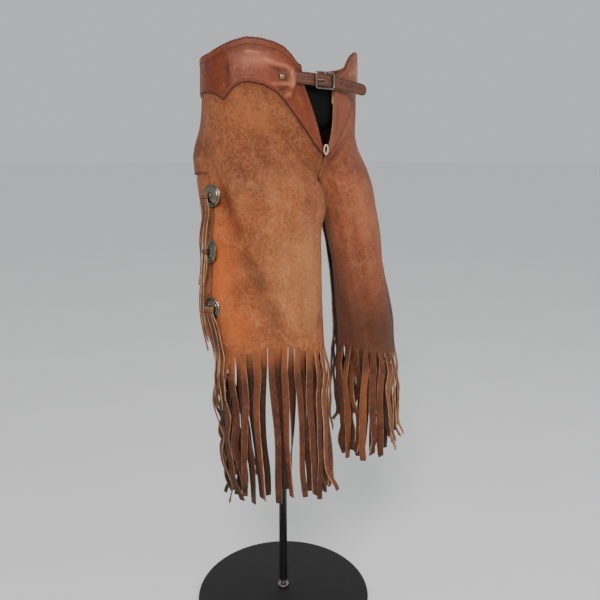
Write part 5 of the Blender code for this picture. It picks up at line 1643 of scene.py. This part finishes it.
def makeRivet(label, node, radius, rise):
    # a domed cap on the seat that its node has
    spots = np.array([v.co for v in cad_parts[node].data.vertices])
    centre = spots.mean(axis=0)
    axis = np.linalg.svd(np.unique(spots, axis=0) - centre)[2][2]
    axis = axis * (-1 if axis[1] > 0 else 1)
    seat = centre + axis * ((spots - centre) @ axis).min()
    side = unit(np.cross(axis, [0.0, 0.0, 1.0]))
    up = np.cross(side, axis)
    turn = circle(cap["steps"])
    rings = []
    for share, height in zip(cap["share"], cap["height"]):
        ring = (side * np.cos(turn)[:, None] + up * np.sin(turn)[:, None]) * radius * share
        rings.append(seat + axis * rise * height + ring)
    points = np.concatenate([np.array(rings).reshape(-1, 3), [seat + axis * rise], [seat]])
    faces = domeFaces(len(rings), cap["steps"])
    hollow = np.concatenate([np.repeat(cap["hollow"], cap["steps"]), [0.0, 0.9]])
    piece = makeMesh(label, points, faces, [materials["brass"]], None, {"hollow": hollow})
    facingOut(piece)
    return finished(piece, node)


makeRivet("strapRivet", "strap_rivet", 0.0048, 0.0026)
makeRivet("chapeRivet", "chape_rivet", 0.0038, 0.0016)


lace = {"steps": 14, "lobe": 0.12, "crotch": 0.0011, "back": 0.0012, "ahead": 0.002}


def makeLaces():
    face = leather["gap"] + leather["wall"]
    heights = np.linspace(0.905, 0.926, 8)
    depth = min(layer(name, 0.2, heights, face)[:, 1].min() for name in sides) - lace["ahead"]
    loop = []
    for i in range(72):
        turn = 2 * math.pi * i / 72
        loop.append((-0.002 + 0.0046 * math.cos(turn), depth, 0.9155 + 0.0078 * math.sin(turn)))
    look = materials["lace"]
    cord = roundTube("crotchLace", loop, lace["crotch"], lace["steps"], True, look, 1600.0, lace["lobe"])
    finished(cord, "crotch_lace")
    zigzag = [(0.0135 * (-1) ** i, 0.1034, 1.044 - 0.009 * i) for i in range(6)]
    fine = []
    for a, b in zip(zigzag, zigzag[1:]):
        for t in np.linspace(0, 1, 14)[:-1]:
            fine.append(np.array(a) * (1 - t) + np.array(b) * t)
    fine.append(np.array(zigzag[-1]))
    fine = np.array(fine)
    for _ in range(2):
        fine[1:-1] = (fine[:-2] + 2 * fine[1:-1] + fine[2:]) / 4
    cord = roundTube("backLace", fine, lace["back"], lace["steps"], False, look, 1700.0, lace["lobe"])
    finished(cord, "back_lace")


makeLaces()
print("strap, buckle and laces made")


# Hip form and stand
formRings = [
    (0.93, 1.022, 0.0), (0.985, 1.016, 0.0), (1.0, 1.006, 0.0), (1.0, 0.985, 0.008),
    (0.985, 0.966, 0.022), (0.93, 0.953, 0.028), (0.80, 0.9482, 0.024),
]
stand = {
    "baseRadius": 0.178, "centreHeight": 0.018, "edgeHeight": 0.006, "rod": 0.0055,
    "sleeve": 0.0082, "sleeveBottom": 0.034, "collar": 0.0115, "collarHeight": 0.005,
    "formBottom": 0.947, "formSteps": 128,
}


def lathe(label, profile, steps, look):
    # rows of radius and height, from the top down the outside
    profile = np.array(profile)
    turn = circle(steps)
    rings = []
    for radius, z in profile[1:-1]:
        rings.append(np.stack([radius * np.cos(turn), radius * np.sin(turn), z + 0 * turn], axis=1))
    points = np.concatenate(rings + [[[0, 0, profile[0][1]]], [[0, 0, profile[-1][1]]]])
    piece = makeMesh(label, points, domeFaces(len(rings), steps), [look])
    facingOut(piece)
    return piece


def rounded(radius, top, foot, soft):
    # a rim that turns over softly, from the top face down the wall
    out = []
    for t in np.linspace(0.0, math.pi / 2, 5):
        out.append((radius - soft + soft * math.sin(t), top - soft + soft * math.cos(t)))
    out.append((radius, foot + 0.0003))
    out.append((radius - 0.0003, foot))
    return out


def makeStand():
    s = stand
    high = s["centreHeight"]
    slope = [(0.0, high), (0.02, high - 0.0003), (0.045, high - 0.0015)]
    slope += [(0.08, 0.0143), (0.11, 0.0120), (0.14, 0.0094), (0.160, 0.0076)]
    base = slope + rounded(s["baseRadius"], s["edgeHeight"] + 0.0004, 0.0, 0.0025) + [(0.0, 0.0)]
    finished(lathe("basePlate", base, 160, materials["iron"]), "base_plate")
    seat = s["centreHeight"] + leather["gap"]
    top = seat + s["collarHeight"]
    collar = [(0.0, top), (0.006, top)] + rounded(s["collar"], top, seat, 0.0012) + [(0.0, seat)]
    finished(lathe("baseCollar", collar, 64, materials["steel"]), "base_collar")
    rodTop = s["sleeveBottom"]
    foot = top + leather["gap"]
    rod = [(0.0, rodTop), (0.004, rodTop)] + rounded(s["rod"], rodTop, foot, 0.0003) + [(0.0, foot)]
    finished(lathe("innerRod", rod, 48, materials["steel"]), "inner_rod")
    high = s["formBottom"] - leather["gap"]
    low = s["sleeveBottom"] + leather["gap"]
    sleeve = [(0.0, high), (0.006, high)] + rounded(s["sleeve"], high, low, 0.0004) + [(0.0, low)]
    finished(lathe("poleSleeve", sleeve, 48, materials["pole"]), "pole_sleeve")


def makeForm():
    inset = leather["wall"] + 3 * leather["gap"]
    keys = np.arange(len(formRings), dtype=float)
    t = np.linspace(0.0, keys[-1], 40)
    rows = [readSmooth(keys, [row[k] for row in formRings], t) for k in range(3)]
    rows[0] = np.minimum(rows[0], 1.0)
    turn = circle(stand["formSteps"])
    rings = []
    for share, z, rise in zip(*rows):
        x = (waist["halfWidth"] - inset) * share * np.sin(turn)
        y = waist["centreY"] - (waist["halfDepth"] - inset) * share * np.cos(turn)
        rings.append(np.stack([x, y, z + rise * np.sin(turn) ** 2], axis=1))
    points = np.concatenate(rings + [[[0, waist["centreY"], 1.024]], [[0, 0, stand["formBottom"]]]])
    faces = domeFaces(len(rings), stand["formSteps"])
    piece = makeMesh("hipForm", points, faces, [materials["form"]])
    facingOut(piece)
    finished(piece, "hip_form")


makeStand()
makeForm()
print("form and stand made")


def stitchTree(label, look):
    # capsule-like stitches on points, laid along their row and square to the leather
    tree = bpy.data.node_groups.new(label, "GeometryNodeTree")
    sockets = {}
    for title in ("Points", "Length", "Width", "Height"):
        kind = "NodeSocketGeometry" if title == "Points" else "NodeSocketFloat"
        sockets[title] = tree.interface.new_socket(title, in_out="INPUT", socket_type=kind)
    tree.interface.new_socket("Geometry", in_out="OUTPUT", socket_type="NodeSocketGeometry")
    given = tree.nodes.new("NodeGroupInput").outputs
    out = tree.nodes.new("NodeGroupOutput").inputs
    ball = tree.nodes.new("GeometryNodeMeshUVSphere")
    ball.inputs["Segments"].default_value = 8
    ball.inputs["Rings"].default_value = 5
    ball.inputs["Radius"].default_value = 0.5
    place = tree.nodes.new("GeometryNodeInstanceOnPoints")
    turns = None
    for title, axis in (("way", "X"), ("out", "Z")):
        field = tree.nodes.new("GeometryNodeInputNamedAttribute")
        field.data_type = "FLOAT_VECTOR"
        field.inputs["Name"].default_value = title
        turn = tree.nodes.new("FunctionNodeAlignRotationToVector")
        turn.axis = axis
        if turns is not None:
            turn.pivot_axis = "X"
            tree.links.new(turns.outputs[0], turn.inputs["Rotation"])
        tree.links.new(field.outputs["Attribute"], turn.inputs["Vector"])
        turns = turn
    uneven = tree.nodes.new("FunctionNodeRandomValue")
    uneven.data_type = "FLOAT"
    floats = [socket for socket in uneven.inputs if socket.type == "VALUE" and socket.enabled]
    floats[0].default_value = 0.85
    floats[1].default_value = 1.08
    uneven.inputs["Seed"].default_value = 7
    size = tree.nodes.new("ShaderNodeCombineXYZ")
    length = tree.nodes.new("ShaderNodeMath")
    length.operation = "MULTIPLY"
    tree.links.new(given["Length"], length.inputs[0])
    tree.links.new([socket for socket in uneven.outputs if socket.enabled][0], length.inputs[1])
    tree.links.new(length.outputs[0], size.inputs["X"])
    tree.links.new(given["Width"], size.inputs["Y"])
    tree.links.new(given["Height"], size.inputs["Z"])
    tree.links.new(given["Points"], place.inputs["Points"])
    tree.links.new(ball.outputs["Mesh"], place.inputs["Instance"])
    tree.links.new(turns.outputs[0], place.inputs["Rotation"])
    tree.links.new(size.outputs[0], place.inputs["Scale"])
    real = tree.nodes.new("GeometryNodeRealizeInstances")
    paint = tree.nodes.new("GeometryNodeSetMaterial")
    paint.inputs["Material"].default_value = look
    tree.links.new(place.outputs[0], real.inputs[0])
    tree.links.new(real.outputs[0], paint.inputs[0])
    tree.links.new(paint.outputs[0], out[0])
    return tree, sockets


def rowSpots(name, place, heights, offset, pitch, fine):
    # evenly spaced places on a line over the leather, with its way and the leather's normal
    station = stationAt(name, place, heights)
    spots = layer(name, station, heights, offset, fine)
    outs = normalAt(name, station, heights, fine)
    run = lengthAlong(spots)
    at = np.arange(pitch / 2, run[-1], pitch)
    ways = np.gradient(spots, run, axis=0)
    picked = []
    for data in (spots, ways, outs):
        picked.append(np.stack([np.interp(at, run, data[:, k]) for k in range(3)], axis=1))
    return np.concatenate([picked[0], unit(picked[1]), unit(picked[2])], axis=1)


def placed(label, rows, look, size):
    data = np.concatenate(rows)
    mesh = bpy.data.meshes.new(label)
    mesh.from_pydata([tuple(p) for p in data[:, :3]], [], [])
    for title, values in (("way", data[:, 3:6]), ("out", data[:, 6:9])):
        field = mesh.attributes.new(title, "FLOAT_VECTOR", "POINT")
        field.data.foreach_set("vector", values.astype(np.float32).ravel())
    piece = linked(label, mesh)
    tree, sockets = stitchTree(label + "Tree", look)
    laid = piece.modifiers.new("laid", "NODES")
    laid.node_group = tree
    for title, value in zip(("Length", "Width", "Height"), size):
        laid[sockets[title].identifier] = value
    baked(piece)
    piece.data.shade_smooth()
    return finished(piece, None)


# Pitch, and length, width and height of one
stitch = {"pitch": 0.0036, "size": (0.0030, 0.0008, 0.0007), "shadeSpotsAndPores": 0.0001, "front": 0.08}
stamp = {"pitch": 0.0026, "size": (0.0012, 0.0012, 0.0005), "lines": (0.16, 0.21, 0.26)}


def makeStitches(name):
    place = np.linspace(0.06, finePlaces[-1] - 0.06, 700)
    top = heightOn(name, place, beltTop)
    bottom = heightOn(name, place, yokeBottom)
    face = leather["gap"] + leather["wall"] + stitch["shadeSpotsAndPores"]
    lines = [(place, top - 0.0036), (place, top - 0.0086), (place, bottom + 0.0062)]
    front = np.full(120, stitch["front"])
    edgeTop = heightOn(name, front[:1], beltTop)[0] - 0.012
    edgeFoot = heightOn(name, front[:1], yokeBottom)[0] + 0.008
    lines.append((front, np.linspace(edgeTop, edgeFoot, 120)))
    rows = [rowSpots(name, *line, face, stitch["pitch"], False) for line in lines]
    slitPlace = np.full(300, grid["slit"] * grid["step"] - 0.09)
    head = readTable(slitHead, "place", "z", slitPlace[0]) - 0.006
    foot = hemHeight(name, slitPlace[:1])[0] + 0.004
    heights = np.linspace(head, foot, 300)
    rows.append(rowSpots(name, slitPlace, heights, stitch["shadeSpotsAndPores"], stitch["pitch"], True))
    placed("stitches." + name, rows, materials["thread"], stitch["size"])
    dots = []
    for number, inside in enumerate(stamp["lines"]):
        line = np.full(160, inside)
        high = heightOn(name, line[:1], beltTop)[0] - 0.024
        low = heightOn(name, line[:1], yokeBottom)[0] + 0.010 + 0.004 * number
        shift = stamp["pitch"] * 0.5 * (number % 2)
        heights = np.linspace(high - shift, low, 160)
        dots.append(rowSpots(name, line, heights, face - stitch["shadeSpotsAndPores"], stamp["pitch"], False))
    placed("stamps." + name, dots, materials["stamp"], stamp["size"])


for name in sides:
    makeStitches(name)
print("stitches made")


# Floor, light and camera
studio = {
    "sky": (0.92, 0.94, 0.96, 1), "skyPower": 0.62, "floor": (0.92, 0.92, 0.92, 1),
    "floorLight": (0.94, 0.94, 0.94, 1), "lens": 39.0, "sensor": 36.0,
    "camera": (-0.8119, -0.8911, 0.915), "tilt": 77.0, "heading": -44.0,
}


def makeFloor():
    shape = bmesh.new()
    bmesh.ops.create_grid(shape, x_segments=1, y_segments=1, size=40.0)
    mesh = bpy.data.meshes.new("floor")
    shape.to_mesh(mesh)
    shape.free()
    paint = plainMaterial("paleFloor", studio["floor"], studio["floorLight"], 0.9, 3.0, 0.0)
    mesh.materials.append(paint)
    linked("floor", mesh)


def areaLight(label, place, target, size, power, tint=(1.0, 1.0, 1.0)):
    light = bpy.data.lights.new(label, "AREA")
    light.shape = "DISK"
    light.size = size
    light.energy = power
    light.color = tint
    lamp = linked(label, light)
    lamp.location = place
    way = [t - p for t, p in zip(target, place)]
    flat = math.hypot(way[0], way[1])
    lamp.rotation_euler = (math.atan2(flat, -way[2]), 0.0, math.atan2(-way[0], way[1]))


makeFloor()
world = bpy.data.worlds.new("paleStudio")
world.use_nodes = True
sky = world.node_tree.nodes["Background"].inputs
sky[0].default_value = studio["sky"]
sky[1].default_value = studio["skyPower"]
bpy.context.scene.world = world
areaLight("key", (-1.7, -1.5, 2.3), (0.0, 0.0, 0.75), 0.9, 58.0, (1.0, 0.97, 0.93))
areaLight("fill", (0.9, -2.1, 1.6), (0.0, 0.0, 0.7), 1.6, 10.0)

lens = bpy.data.cameras.new("camera")
lens.lens = studio["lens"]
lens.sensor_width = studio["sensor"]
lens.clip_start = 0.01
camera = linked("camera", lens)
camera.location = studio["camera"]
camera.rotation_euler = (math.radians(studio["tilt"]), 0.0, math.radians(studio["heading"]))
bpy.context.scene.camera = camera
